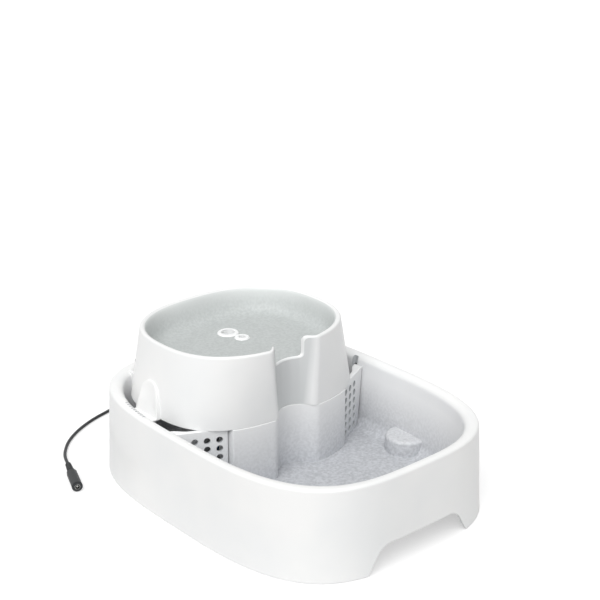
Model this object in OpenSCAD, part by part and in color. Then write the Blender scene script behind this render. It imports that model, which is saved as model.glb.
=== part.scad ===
// Pet water fountain: a rounded tub with a low drinking basin in front and a pump bay behind,
// a filter cartridge in its holder between them, and a raised bowl that spills back into the basin.
// Millimetres. Origin: centre of the footprint on the floor. +Z up, -Y is the drinking end.

/* [Base tub] */
// Length of the tub over its foot, drinking end to back
base_length = 400; // [385:1:415]
// Width of the tub over its foot
base_width = 302; // [292:1:316]
// Height of the rim
base_height = 97; // [94:0.5:104]
// Lean of the outer wall between rim and foot, each side
base_flare = 4; // [2:0.5:6]
// Squareness of the tub in plan, 2 being an ellipse
base_squareness = 3.3; // [2.8:0.1:3.8]
// Width of the rolled rim, outer wall to inner wall
rim_width = 12.5; // [11:0.5:14]
// Thickness of the moulded walls
wall = 3; // [2.4:0.2:3.6]
// Height of the basin floor
floor_z = 19.5; // [18:0.5:22]
// Height of the pump bay floor
bay_floor_z = 29.5; // [27:0.5:31]
// Height of the foot arches
arch_height = 28; // [20:1:34]
// Width of the foot arches
arch_width = 135; // [110:1:150]

/* [Divider and bay walls] */
// Height of the ledge that carries the bowl
ledge_z = 87; // [85:0.5:89]
// Height of the bay walls and the two locating blocks
bay_top_z = 99; // [96:0.5:102]
// Outer half width of the divider between the strainers
divider_half = 78; // [74:1:82]
// Half width between the two bay walls
bay_half = 79; // [76:1:82]
// Thickness of the bay walls
bay_wall = 4.4; // [3.6:0.2:5]
// Diameter of the holes in the strainers
strainer_hole_d = 7; // [5:0.5:8]

/* [Bowl] */
// Width of the bowl skirt at its lower edge
skirt_width = 237; // [232:1:239]
// Depth of the bowl skirt at its lower edge
skirt_depth = 186; // [182:1:188]
// Height of the bowl
bowl_height = 77; // [70:1:84]
// Depth of water that the bowl's dish holds below its rim
dish_depth = 28; // [25:0.5:31]
// Depth of the spill notch below the rim
spill_depth = 22.5; // [18:0.5:24]
// Radius of the round spillway recess in the bowl's front
spill_radius = 25.5; // [22:0.5:28]
// Width of the spill notch
spill_width = 35; // [28:1:38]

/* [Pump] */
// Length of the pump housing, cable end to intake
pump_length = 51; // [50:0.5:54]
// Depth of the pump housing
pump_depth = 46.5; // [45:0.5:48]
// Height of the pump housing without its feet
pump_height = 30.8; // [30:0.2:32]
// Diameter of the riser tube
riser_d = 14.6; // [13.6:0.2:15]
// Diameter of the return tube
return_d = 7.4; // [6.6:0.2:8]

/* [Filter] */
// Width of the filter holder's grip bar
holder_bar_width = 155; // [150:1:157]
// Width of the filter holder's sleeve
holder_width = 115.8; // [114.6:0.2:116.4]
// Thickness of the filter holder's sleeve
holder_thickness = 13.6; // [13.2:0.1:14]
// Height of the filter cartridge
cartridge_height = 54.9; // [50:0.1:56]

/* [Lead and socket] */
// Diameter of the pump lead
lead_d = 3.6; // [3:0.1:3.8]
// Width of the lead's coil at the middle of its turns
coil_d = 42; // [38:1:44]
// Diameter of the socket's head
socket_d = 14; // [12:0.5:15]

/* [Hidden] */

ring_points = 64;
seat_gap = 0.1;
seam = 0.05;
$fn = 48;

base_half = [base_width / 2, base_length / 2];
rim_half = base_half - [base_flare, base_flare];
inner_half = rim_half - [rim_width, rim_width];
inner_lean = 10;
inner_squareness = base_squareness - 0.1;
floor_radius = 12;
rim_inner_radius = 8;
rim_outer_radius = 3;

bowl_y = 78.4;
skirt_half = [skirt_width / 2, skirt_depth / 2];
skirt_squareness = 2.8;
bowl_rim_half = skirt_half - [11.2, 1.2];
bowl_rim_squareness = 2.45;
bowl_top_z = ledge_z + bowl_height;
dish_floor_z = bowl_top_z - dish_depth;
spill_z = bowl_top_z - spill_depth;
spill_y = 5.2 - spill_radius;
ledge_lip = 1.2;
skirt_room = 0.8;

divider_back = 21.5;
block_inner = 8.3;
block_outer = 70.5;

holder_y = 59.3;
groove_y = holder_y - 0.5;
groove_depth_y = holder_thickness + 1;
groove_mouth = holder_width / 2 - 5.5;
groove_end = holder_width / 2 + 2;
holder_drop = 43.4;
bar_height = 12;
bar_x = 2.5 - holder_bar_width / 2;
bar_depth = 19;
sheet = 1.4;

pump_x = -29.4;
pump_y = 101;
foot_height = 1.6;
pump_z = bay_floor_z + seat_gap + foot_height;
pump_top_z = pump_z + pump_height;
rotor_y = 121.5;
rotor_z = pump_z + pump_height / 2;
outlet = [7, 110.5];
return_at = [10.3, 90];
volute_r = 12.4;
volute_x = [2.5, 12.5];
tube_top_z = dish_floor_z - wall - 5;
gland_y = 140.7;
gland_z = 56.8;

// ---------------------------------------------------------------- shared shapes

function power(v, p) = sign(v) * pow(abs(v), p);

// One oval of the given half sizes, from flat-sided to elliptic by its squareness
function oval(half, n, count = ring_points) = [
    for (i = [0:count - 1])
        let (t = 360 * i / count)
        [half.x * power(cos(t), 2 / n), half.y * power(sin(t), 2 / n)]
];

// A step of a loft: [z, half sizes, squareness]
function step(z, half, n) = [z, half, n];

module frustum(low, high, centre_y) {
    low_points = [for (p = oval(low[1], low[2])) [p.x, p.y + centre_y, low[0]]];
    high_points = [for (p = oval(high[1], high[2])) [p.x, p.y + centre_y, high[0]]];
    polyhedron(
        points = concat(low_points, high_points),
        faces = concat(
            [[for (i = [0:ring_points - 1]) i]],
            [[for (i = [ring_points - 1:-1:0]) i + ring_points]],
            [
                for (i = [0:ring_points - 1])
                    let (j = (i + 1) % ring_points)
                    [i, i + ring_points, j + ring_points, j]
            ]
        )
    );
}

// Convex loft through a list of steps
module loft(steps, centre_y = 0) {
    for (i = [0:len(steps) - 2])
        hull()
            frustum(steps[i], steps[i + 1], centre_y);
}

module rounded_rect(size, r) {
    translate([r, 0])
        square([size.x - 2 * r, size.y]);
    translate([0, r])
        square([size.x, size.y - 2 * r]);
    for (x = [r, size.x - r], y = [r, size.y - r])
        translate([x, y])
            circle(r);
}

module rounded_box(size, r) {
    linear_extrude(size.z)
        rounded_rect([size.x, size.y], r);
}

module along_x(length, r) {
    rotate([0, 90, 0])
        cylinder(h = length, r = r);
}

module tube(h, outer_r, inner_r) {
    difference() {
        cylinder(h = h, r = outer_r);
        translate([0, 0, -1])
            cylinder(h = h + 2, r = inner_r);
    }
}

module both_sides() {
    children();
    mirror([1, 0, 0])
        children();
}

// ---------------------------------------------------------------- base tub

function outer_half(z) = rim_half + (1 - z / base_height) * [base_flare, base_flare];
function inset(half, d) = half - [d, d];

outer_steps = concat(
    [step(0, base_half, base_squareness)],
    [
        for (a = [0:30:90])
            let (z = base_height - rim_outer_radius * (1 - sin(a)))
            step(z, inset(outer_half(z), rim_outer_radius * (1 - cos(a))), base_squareness)
    ]
);

function inner_inset(z) = inner_lean * (base_height - rim_inner_radius - z)
    / (base_height - rim_inner_radius - floor_z);

// Water space of the tub: floor radius, leaning wall and rolled rim
function cavity_steps(grow = 0) = concat(
    [
        for (a = [0:30:90])
            let (z = floor_z + floor_radius * (1 - cos(a)))
            step(z - grow, inset(inner_half, inner_inset(z) + floor_radius * (1 - sin(a)) - grow), inner_squareness)
    ],
    [
        for (a = [0:30:90])
            let (z = base_height - rim_inner_radius * (1 - sin(a)))
            step(z, inset(inner_half, -rim_inner_radius * (1 - cos(a)) - grow), inner_squareness)
    ],
    [step(base_height + 1, inset(inner_half, -rim_inner_radius - grow), inner_squareness)]
);

// Hollow between the outer wall and the basin, open to the floor
module tub_underside() {
    difference() {
        loft([
            step(-1, inset(base_half, wall), base_squareness),
            step(base_height - 14, inset(outer_half(base_height - 14), wall), base_squareness),
            step(base_height - 7, inset(outer_half(base_height - 7), wall + 3), base_squareness)
        ]);
        difference() {
            loft(cavity_steps(wall));
            bay_floor_block(wall, -20);
        }
    }
}

// Space under the raised floor of the pump bay
module bay_floor_block(side_inset, low) {
    intersection() {
        translate([0, divider_back + side_inset, floor_z + low])
            linear_extrude(bay_floor_z - floor_z - low - side_inset)
                polygon([
                    [-divider_half - 2, 0], [divider_half + 2, 0],
                    [base_width, base_width / 2 - divider_half / 2], [base_width, base_length],
                    [-base_width, base_length], [-base_width, base_width / 2 - divider_half / 2]
                ]);
        loft([
            step(low - 5, inset(inner_half, inner_lean + side_inset + 8), inner_squareness),
            step(bay_floor_z + 1, inset(inner_half, inner_lean + side_inset), inner_squareness)
        ]);
    }
}

module foot_arch() {
    corner = 20;
    rotate([90, 0, 0])
        linear_extrude(base_length / 2)
            hull() {
                for (s = [-1, 1]) {
                    translate([s * (arch_width / 2 - corner - 7.5), arch_height - corner])
                        circle(corner, $fn = 36);
                    translate([s * arch_width / 2 - 0.5, -1])
                        square(1);
                }
            }
}

grip_y = 84.5;
grip_length = 44;
grip_pitch = 4.9;
grip_count = 9;
guide_y = 41.5;

function wall_x(y) = inner_half.x * pow(1 - pow(abs(y) / inner_half.y, inner_squareness), 1 / inner_squareness);

// Band along the side wall between two places, reaching in and out from its face
module wall_band(y0, y1, reach_in, reach_out) {
    polygon([
        [wall_x(y0) - reach_in, y0], [wall_x(y0) + reach_out, y0],
        [wall_x(y1) + reach_out, y1], [wall_x(y1) - reach_in, y1]
    ]);
}

// One groove over the rim's inner rounding
module grip_groove(y) {
    width = 2.3;
    depth = 1.5;
    translate([wall_x(y) + rim_inner_radius, y + width / 2, base_height - rim_inner_radius])
        rotate([90, 0, 0])
            linear_extrude(width)
                difference() {
                    translate([-rim_inner_radius - 2, 1.5])
                        square([rim_inner_radius + 1, rim_inner_radius]);
                    circle(rim_inner_radius - depth);
                }
}

// Slot for the bowl's lip, with finger grooves over it, and the guide groove of the strainer
module side_wall_cuts() {
    translate([0, 0, ledge_z - 2])
        linear_extrude(4.5)
            wall_band(grip_y - grip_length / 2, grip_y + grip_length / 2, 3, wall - 0.8);
    for (i = [0:grip_count - 1])
        grip_groove(grip_y + 1.5 + (i - (grip_count - 1) / 2) * grip_pitch);
    translate([0, 0, ledge_z - 4])
        linear_extrude(20)
            wall_band(guide_y - 4, guide_y + 4, 3, 3);
}

level_step_y = -53;
level_step_z = 36.5;

// Raised step against the side wall that shows the full mark
module level_step() {
    radius = 23;
    flat_x = inner_half.x - inner_lean - 1;
    translate([flat_x, level_step_y, floor_z - 1])
        intersection() {
            cylinder(h = level_step_z - floor_z + 1, r1 = radius + 1, r2 = radius);
            translate([-20, -radius, 0])
                cube([20 + wall, 2 * radius, level_step_z]);
        }
}

pad_at = [36.5, 149.5];

module base_tub() {
    color("whitesmoke")
        difference() {
            union() {
                difference() {
                    loft(outer_steps);
                    difference() {
                        loft(cavity_steps());
                        bay_floor_block(0, -2);
                    }
                }
                level_step();
                translate([pad_at.x, pad_at.y, bay_floor_z - 1])
                    cylinder(h = 4.5, r = 14);
            }
            tub_underside();
            for (turn = [0, 180])
                rotate(turn)
                    translate([0, -base_length / 2 + 20, 0])
                        foot_arch();
            both_sides()
                side_wall_cuts();
        }
}

// ---------------------------------------------------------------- divider, bay walls, strainers

module ledge_outline(grow = 0) {
    difference() {
        intersection() {
            translate([0, bowl_y])
                polygon(oval(inset(skirt_half, -ledge_lip - grow), skirt_squareness));
            translate([-divider_half - grow, -base_length / 2])
                square([2 * divider_half + 2 * grow, base_length / 2 + divider_back + grow]);
        }
        translate([0, spill_y])
            circle(spill_radius - ledge_lip - grow);
    }
}

module block_outline() {
    corner = 4;
    offset(r = corner, $fn = 24)
        offset(delta = -corner)
            difference() {
                intersection() {
                    translate([0, bowl_y])
                        polygon(oval(inset(skirt_half, wall + 1.5 + skirt_room), skirt_squareness));
                    translate([block_inner, -base_length / 2])
                        square([block_outer - block_inner, base_length / 2 + divider_back]);
                }
                translate([0, spill_y])
                    circle(spill_radius + wall + skirt_room);
            }
}

// Wall across the tub, its ledge under the bowl's front and the two locating blocks
module front_divider() {
    color("whitesmoke") {
        difference() {
            translate([0, 0, floor_z])
                linear_extrude(ledge_z - floor_z)
                    ledge_outline();
            translate([0, 0, floor_z - 1])
                linear_extrude(ledge_z - floor_z - wall + 1)
                    ledge_outline(-wall);
        }
        both_sides()
            difference() {
                translate([0, 0, ledge_z])
                    linear_extrude(bay_top_z - ledge_z)
                        block_outline();
                translate([block_outer - 4, -3, ledge_z - 1])
                    cylinder(h = bay_top_z - ledge_z - 1.5, r = 4.2);
            }
    }
}

module bay_wall_outline() {
    block_depth = groove_depth_y + 5;
    outer_x = bay_half + bay_wall;
    web_r = 14;
    difference() {
        translate([groove_mouth, groove_y - 2])
            rounded_rect([outer_x - groove_mouth, block_depth + 6], 1);
        translate([groove_mouth, groove_y - 2 + block_depth])
            square([bay_half - groove_mouth, 20]);
        translate([groove_mouth - 1, groove_y])
            square([groove_end - groove_mouth + 1, groove_depth_y]);
        translate([outer_x - 10, groove_y - 2 - 0.01])
            difference() {
                square([11, 10]);
                translate([0, 10])
                    circle(10);
            }
    }
    translate([bay_half, groove_y + groove_depth_y])
        square([bay_wall, base_length / 2 - groove_y - groove_depth_y]);
    translate([outer_x + web_r - 2, 117])
        intersection() {
            difference() {
                circle(web_r);
                circle(web_r - 3.5);
            }
            translate([-web_r, 0])
                square([2 * web_r, web_r]);
        }
}

// Footprint of the bowl's skirt, where the bay walls stop at ledge height
module skirt_track() {
    translate([0, bowl_y])
        difference() {
            polygon(oval(inset(skirt_half, -skirt_room), skirt_squareness));
            polygon(oval(inset(skirt_half, wall + 1.5 + skirt_room), skirt_squareness));
        }
}

module bay_wall_solid() {
    low_top_z = bay_top_z - 3;
    difference() {
        intersection() {
            translate([0, 0, bay_floor_z])
                linear_extrude(bay_top_z - bay_floor_z)
                    bay_wall_outline();
            loft(cavity_steps(-seam));
        }
        translate([0, 0, ledge_z])
            linear_extrude(bay_top_z)
                skirt_track();
        translate([0, 0, low_top_z])
            linear_extrude(bay_top_z)
                difference() {
                    translate([0, bowl_y])
                        square([base_width, base_length]);
                    translate([0, bowl_y])
                        polygon(oval(skirt_half, skirt_squareness));
                }
    }
}

module left_bay_wall() {
    color("whitesmoke")
        mirror([1, 0, 0])
            bay_wall_solid();
}

module right_bay_wall() {
    color("whitesmoke")
        bay_wall_solid();
}

strainer_start = [divider_half + 0.5, 1.5];
strainer_turn = 26.5;
strainer_gap = 2;
hole_pitch = [12.9, 9.8];
hole_columns = 3;
hole_rows = 6;

function strainer_u(z) = (inner_half.x - inner_inset(z) - 1 - strainer_start.x) / cos(strainer_turn);
function strainer_foot_u(a) = (inner_half.x - inner_inset(floor_z) - floor_radius * (1 - sin(a)) - 0.8
    - strainer_start.x) / cos(strainer_turn);

// Perforated plate that slides down beside the divider, with its shelf on top
module strainer_solid() {
    shelf = 10.5;
    plate = concat(
        [[strainer_gap, floor_z + 0.2], [strainer_foot_u(0), floor_z + 0.2]],
        [for (a = [30:30:90]) [strainer_foot_u(a), floor_z + 0.2 + floor_radius * (1 - cos(a))]],
        [[strainer_u(ledge_z), ledge_z], [strainer_gap, ledge_z]]
    );
    translate([strainer_start.x, strainer_start.y, 0])
        rotate(strainer_turn) {
            difference() {
                translate([0, wall, 0])
                    rotate([90, 0, 0])
                        linear_extrude(wall)
                            polygon(plate);
                for (i = [0:hole_columns - 1], j = [0:hole_rows - 1])
                    translate([strainer_gap + 8.5 + i * hole_pitch.x, -1, ledge_z - 11 - j * hole_pitch.y])
                        rotate([-90, 0, 0])
                            cylinder(h = wall + 2, r = strainer_hole_d / 2, $fn = 24);
            }
            translate([0, 0, ledge_z - wall])
                linear_extrude(wall)
                    polygon([
                        [strainer_gap, wall], [strainer_u(ledge_z), wall],
                        [strainer_u(ledge_z) + shelf * tan(strainer_turn) - 0.6, shelf],
                        [strainer_gap + 7, shelf], [strainer_gap + 3.5, shelf - 2]
                    ]);
        }
}

module left_strainer() {
    color("gainsboro")
        mirror([1, 0, 0])
            strainer_solid();
}

module right_strainer() {
    color("gainsboro")
        strainer_solid();
}

// ---------------------------------------------------------------- bowl

function bowl_share(z) = (z - ledge_z) / bowl_height;
function bowl_half(z) = skirt_half + (bowl_rim_half - skirt_half) * bowl_share(z);
function bowl_square(z) = skirt_squareness + (bowl_rim_squareness - skirt_squareness) * bowl_share(z);
function bowl_step(z, d) = step(z, inset(bowl_half(z), d), bowl_square(z));

bowl_bottom_z = ledge_z + seat_gap;
bowl_outer_steps = [
    bowl_step(bowl_bottom_z, 0), bowl_step(bowl_top_z - 2.2, 0),
    bowl_step(bowl_top_z - 0.7, 0.6), bowl_step(bowl_top_z, 2)
];

function dish_steps(grow = 0) = [
    bowl_step(dish_floor_z - grow, 26 - grow), bowl_step(dish_floor_z + 1.4 - grow, 18 - grow),
    bowl_step(dish_floor_z + 5 - grow, 12.5 - grow), bowl_step(dish_floor_z + 12 - grow, 9 - grow),
    bowl_step(bowl_top_z - 3, 4.6 - grow), bowl_step(bowl_top_z - 0.8, 3.7 - grow),
    bowl_step(bowl_top_z + 1, 2.6 - grow)
];

module spill_recess(grow = 0) {
    translate([0, spill_y, 0])
        cylinder(h = bowl_top_z + 10, r = spill_radius + grow, $fn = 64);
}

tab_width = 42;
tab_height = 37;

// Finger tab on the side of the skirt: a lip along the tub's wall under a panel with a thumb hollow
module finger_tab() {
    lip = 2;
    panel_r = 16.5;
    lip_room = 1.4;
    panel_x = skirt_half.x - 1.5;
    hollow_r = 30;
    panel_lean = atan((wall_x(grip_y) - lip_room - panel_x) / (tab_height - lip));
    difference() {
        hull() {
            translate([0, 0, bowl_bottom_z])
                linear_extrude(lip)
                    wall_band(grip_y - tab_width / 2, grip_y + tab_width / 2, 20, -lip_room);
            translate([panel_x - 10, grip_y + 2, bowl_bottom_z + tab_height - panel_r])
                along_x(10, panel_r, $fn = 32);
        }
        translate([(wall_x(grip_y) - lip_room + panel_x) / 2, grip_y + 1, bowl_bottom_z + tab_height / 2])
            rotate([0, -panel_lean, 0])
                translate([hollow_r - 2, 0, 0])
                    sphere(r = hollow_r, $fn = 64);
    }
}

// The notch that the water leaves by, with round corners below and above
module spill_notch() {
    r = 5;
    half = spill_width / 2;
    translate([0, 20, 0])
        rotate([90, 0, 0])
            linear_extrude(60)
                difference() {
                    union() {
                        translate([-half, spill_z])
                            rounded_rect([2 * half, bowl_height], r);
                        translate([-half - r, bowl_top_z - r])
                            square([2 * (half + r), 2 * r]);
                    }
                    for (side = [-1, 1])
                        translate([side * (half + r), bowl_top_z - r])
                            circle(r);
                }
}

module top_bowl() {
    color("gainsboro")
        difference() {
            union() {
                loft(bowl_outer_steps, bowl_y);
                both_sides()
                    finger_tab();
            }
            difference() {
                loft([
                    bowl_step(bowl_bottom_z - 1, wall), bowl_step(bowl_top_z - 14, wall),
                    bowl_step(bowl_top_z - 6, wall + 2)
                ], bowl_y);
                loft(dish_steps(wall), bowl_y);
                spill_recess(wall);
            }
            difference() {
                loft(dish_steps(), bowl_y);
                spill_recess(wall);
            }
            spill_recess();
            spill_notch();
            translate([outlet.x, outlet.y, dish_floor_z - wall - 1])
                cylinder(h = wall + 2, r = collar_r(riser_d) + 0.2);
            translate([return_at.x, return_at.y, dish_floor_z - wall - 1])
                cylinder(h = wall + 2, r = collar_r(return_d) + 0.2);
        }
}

tube_fit = 0.2;
function collar_r(d) = d / 2 + tube_fit + 1.6;

// Flanged collar in the dish floor that the top of a tube slides into
module tube_collar(at, d) {
    translate([at.x, at.y, dish_floor_z - wall - 14]) {
        tube(wall + 14.05, collar_r(d), d / 2 + tube_fit);
        translate([0, 0, wall + 14.05])
            difference() {
                cylinder(h = 1.6, r1 = collar_r(d) + 3, r2 = collar_r(d) + 1.8);
                translate([0, 0, -1])
                    cylinder(h = 4, r = d / 2 + tube_fit);
            }
    }
}

module inlet_collar() {
    color("gainsboro")
        tube_collar(outlet, riser_d);
}

module return_collar() {
    color("gainsboro")
        tube_collar(return_at, return_d);
}

// ---------------------------------------------------------------- pump

cover_thick = 3;
well_r = 7;
well_wall = 1.2;
well_x = -20;
magnet_r = 6.4;
magnet_x = [well_x + 2.6, volute_x[0] - 1];
shaft_r = 1.5;
shaft_fit = 0.05;
outlet_r = 5.2;
outlet_bore_r = 3.4;
outlet_room_r = 7.2;
outlet_seat_z = rotor_z + 11;
stator_low = [-22, 112, pump_z + 2.5];
stator_high = [0.5, pump_y + pump_depth - 3, pump_top_z - 2.5];

module pump_block(x, length, r) {
    translate([x, pump_y, pump_z])
        rounded_box([length, pump_depth, pump_height], r);
}

module rotor_well(grow = 0) {
    translate([well_x - grow, rotor_y, rotor_z])
        along_x(40, well_r + grow);
}

module pump_housing() {
    color([0.2, 0.21, 0.22])
        difference() {
            pump_block(pump_x, pump_length - cover_thick, 1.8);
            translate([volute_x[0], rotor_y, rotor_z])
                along_x(pump_length, volute_r);
            rotor_well();
            difference() {
                translate(stator_low)
                    cube(stator_high - stator_low);
                rotor_well(well_wall);
            }
            translate([outlet.x, outlet.y, rotor_z])
                cylinder(h = pump_height, r = outlet_bore_r);
            translate([outlet.x, outlet.y, outlet_seat_z])
                cylinder(h = pump_height, r = outlet_r + shaft_fit);
            translate([outlet.x, outlet.y, pump_top_z - 1.6])
                cylinder(h = 5, r = outlet_room_r);
            translate([pump_x - 1, gland_y, gland_z])
                along_x(6, 2.6);
        }
}

module intake_cover() {
    x = pump_x + pump_length - cover_thick;
    slots = 6;
    color([0.2, 0.21, 0.22])
        difference() {
            translate([x + seam, pump_y, pump_z])
                rounded_box([cover_thick - seam, pump_depth, pump_height], 1.4);
            for (i = [0:slots - 1])
                translate([x - 1, rotor_y + (i - (slots - 1) / 2) * 4 - 1, rotor_z - 8])
                    cube([cover_thick + 2, 2, 16]);
        }
}

// Plate over the impeller, with the four holes that feed it
module volute_cover() {
    color([0.25, 0.26, 0.27])
        translate([volute_x[1], rotor_y, rotor_z])
            difference() {
                along_x(2, volute_r - seam);
                for (a = [45:90:315])
                    rotate([a, 0, 0])
                        translate([-1, 0, 5.6])
                            along_x(4, 2.2);
                translate([-1, 0, 0])
                    along_x(4, 2.55);
            }
}

module pump_feet() {
    color([0.15, 0.15, 0.16])
        for (x = [pump_x + 7, pump_x + pump_length - 8], y = [pump_y + 7, pump_y + pump_depth - 7])
            translate([x, y, pump_z - foot_height])
                cylinder(h = foot_height, r1 = 4, r2 = 3.4);
}

module rating_plate() {
    color("white")
        translate([-22, 104, pump_top_z])
            rounded_box([21.4, 37, 0.4], 1);
}

module pump_outlet() {
    color("gainsboro")
        translate([outlet.x, outlet.y, outlet_seat_z + 0.1])
            tube(pump_top_z + 14 - outlet_seat_z, outlet_r, outlet_bore_r);
}

module cable_gland() {
    color([0.3, 0.31, 0.32])
        translate([lead_in[0].x, gland_y, gland_z]) {
            rotate([0, 90, 0])
                cylinder(h = pump_x - lead_in[0].x, r1 = 2.3, r2 = 3.4);
            along_x(pump_x - lead_in[0].x + 3, 2.55);
        }
}

// Laminated core: two poles that hug the rotor's well and the limb that carries the coil
module stator_core() {
    size = [11, 27.5, stator_high.z - stator_low.z - 0.6];
    color("silver")
        difference() {
            translate([-17, 113, stator_low.z + 0.3])
                cube(size);
            translate([-20, 120, stator_low.z + 6])
                cube([20, 16, size.z - 11.4]);
            rotor_well(well_wall + 0.1);
            translate([-20, 110, rotor_z - 4])
                cube([20, 26, 8]);
        }
}

module stator_coil() {
    color("orangered")
        difference() {
            translate([-19.5, 133.4, stator_low.z + 6.1])
                rounded_box([16, 9.6, stator_high.z - stator_low.z - 12.2], 1.5);
            translate([-17.1, 135.9, 0])
                cube([11.2, 4.7, 100]);
        }
}

module rotor_shaft() {
    color("white")
        translate([well_x + 1, rotor_y, rotor_z])
            along_x(volute_x[1] + 2 - well_x - 1, shaft_r);
}

// Soft bushes that hold the two ends of the fixed shaft
module shaft_bushes() {
    color("dimgray")
        for (x = [well_x + 0.1, volute_x[1] + 0.05])
            translate([x, rotor_y, rotor_z])
                difference() {
                    along_x(1.9, 2.5);
                    translate([-1, 0, 0])
                        along_x(4, shaft_r + 0.01);
                }
}

module rotor_magnet() {
    color("dimgray")
        translate([magnet_x[0], rotor_y, rotor_z])
            difference() {
                along_x(magnet_x[1] - magnet_x[0], magnet_r);
                translate([-1, 0, 0])
                    along_x(40, shaft_r + shaft_fit);
            }
}

module impeller() {
    blades = 6;
    disc_x = volute_x[0] + 0.4;
    width = volute_x[1] - disc_x - 1.4;
    color("ivory")
        translate([disc_x, rotor_y, rotor_z])
            difference() {
                union() {
                    along_x(1.4, 11);
                    translate([magnet_x[1] - disc_x, 0, 0])
                        along_x(width - magnet_x[1] + disc_x, 3);
                    for (i = [0:blades - 1])
                        rotate([i * 360 / blades, 0, 0])
                            translate([1, -0.7, 2])
                                cube([width - 2, 1.4, 8.8]);
                }
                translate([-10, 0, 0])
                    along_x(30, shaft_r + shaft_fit);
            }
}

riser_low_z = pump_top_z + 7.8;

module riser_tube() {
    color("lightgray")
        translate([outlet.x, outlet.y, riser_low_z])
            tube(tube_top_z - riser_low_z, riser_d / 2, outlet_r + 0.02);
}

foot_z = bay_floor_z + seat_gap;

module return_tube() {
    color("lightgray")
        translate([return_at.x, return_at.y, foot_z + 5])
            tube(tube_top_z - foot_z - 5, return_d / 2, return_d / 2 - 1.2);
}

// Socket and ring that stand the return tube on the bay floor, with a flat lug to lift it by
module return_foot() {
    socket_r = return_d / 2 + 0.7;
    lug = [20.5, 2, 19];
    color("lightgray")
        difference() {
            union() {
                translate([return_at.x, return_at.y, foot_z]) {
                    cylinder(h = 21, r = socket_r);
                    translate([0, 0, 0.3])
                        cylinder(h = 3, r = 6);
                }
                translate([return_at.x - socket_r - lug.x + 1, return_at.y - lug.y / 2, foot_z + 1.4])
                    cube(lug);
            }
            translate([return_at.x, return_at.y, foot_z + 5])
                cylinder(h = 30, r = return_d / 2 + 0.02);
            translate([return_at.x, return_at.y, foot_z - 1])
                cylinder(h = 30, r = return_d / 2 - 1.4);
        }
}

// ---------------------------------------------------------------- filter

bar_z = bay_top_z + seat_gap;
holder_low_z = bar_z - holder_drop;
post = 8.8;

// Grip bar over a sleeve that is open at the front and bottom
module filter_holder() {
    inner_w = holder_width - 2 * sheet;
    window_w = holder_width - 2 * post;
    back_y = holder_y + holder_thickness - sheet;
    color("whitesmoke")
        difference() {
            union() {
                translate([bar_x, holder_y, bar_z])
                    rounded_box([holder_bar_width, bar_depth, bar_height], 7);
                translate([-holder_width / 2, holder_y, holder_low_z])
                    rounded_box([holder_width, holder_thickness, holder_drop + 1], 3);
            }
            translate([-inner_w / 2, holder_y + sheet, holder_low_z - 1])
                cube([inner_w, holder_thickness - 2 * sheet, holder_drop - 1]);
            translate([-window_w / 2, holder_y - 1, holder_low_z - 1])
                cube([window_w, holder_thickness - sheet + 1 - 5.4, holder_drop + bar_height - 2]);
            translate([-window_w / 2, holder_y - 1, bar_z + 0.6])
                cube([window_w, back_y - holder_y + 1, bar_height - 3.6]);
            translate([bar_x + 6, back_y + 2.8, bar_z - 1])
                cube([holder_bar_width - 12, bar_depth - holder_thickness - 2.8, bar_height - 2]);
        }
}

cartridge_w = holder_width - 2 * sheet - 0.6;
cartridge_t = holder_thickness - 2 * sheet - 0.6;
cartridge_z = bay_floor_z + 0.2;
cartridge_y = holder_y + sheet + 0.3;
window_size = [29.5, 14];
window_rib = 5;
window_bar = 2.6;
window_margin = 4;

// Three columns of windows, with round outer corners and two bars across
module window_columns() {
    column_h = cartridge_height - 2 * window_margin;
    bars = (column_h - 2 * window_bar) / 3;
    for (i = [-1:1])
        translate([i * (window_size.x + window_rib) - window_size.x / 2, window_margin])
            difference() {
                rounded_rect([window_size.x, column_h], 6.5);
                for (j = [1, 2])
                    translate([-1, j * bars + (j - 1) * window_bar])
                        square([window_size.x + 2, window_bar]);
            }
}

module cartridge_panel(t) {
    rotate([90, 0, 0])
        linear_extrude(t)
            window_columns();
}

module cartridge_tray() {
    skin = 1.6;
    color("dodgerblue")
        difference() {
            translate([-cartridge_w / 2, cartridge_y, cartridge_z])
                cube([cartridge_w, cartridge_t, cartridge_height]);
            translate([-cartridge_w / 2 + skin, cartridge_y - 1, cartridge_z + skin])
                cube([cartridge_w - 2 * skin, cartridge_t - skin + 1, cartridge_height - 2 * skin]);
            translate([0, cartridge_y + cartridge_t + 1, cartridge_z])
                cartridge_panel(skin + 2);
        }
}

module cartridge_lid() {
    skin = 1.6 + seam;
    color("dodgerblue")
        difference() {
            translate([-cartridge_w / 2 + skin, cartridge_y, cartridge_z + skin])
                cube([cartridge_w - 2 * skin, 2, cartridge_height - 2 * skin]);
            translate([0, cartridge_y + 3, cartridge_z])
                cartridge_panel(4);
        }
}

module filter_media() {
    edge = 1.8;
    color("white")
        translate([-cartridge_w / 2 + edge, cartridge_y + 2.1, cartridge_z + edge])
            cube([cartridge_w - 2 * edge, cartridge_t - 2.1 - edge, cartridge_height - 2 * edge]);
}

// ---------------------------------------------------------------- lead, coil and socket

lead_r = lead_d / 2;
lead_sides = 8;
coil_sides = 6;
coil_turns = 10.5;
coil_steps = 24;
coil_pitch = lead_d + 0.5;
coil_at = [0, 243, lead_r + 0.9];
coil_out = coil_d / 2 + coil_turns / 4 * coil_pitch;
coil_in = coil_d / 2 - coil_turns / 4 * coil_pitch;

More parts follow.
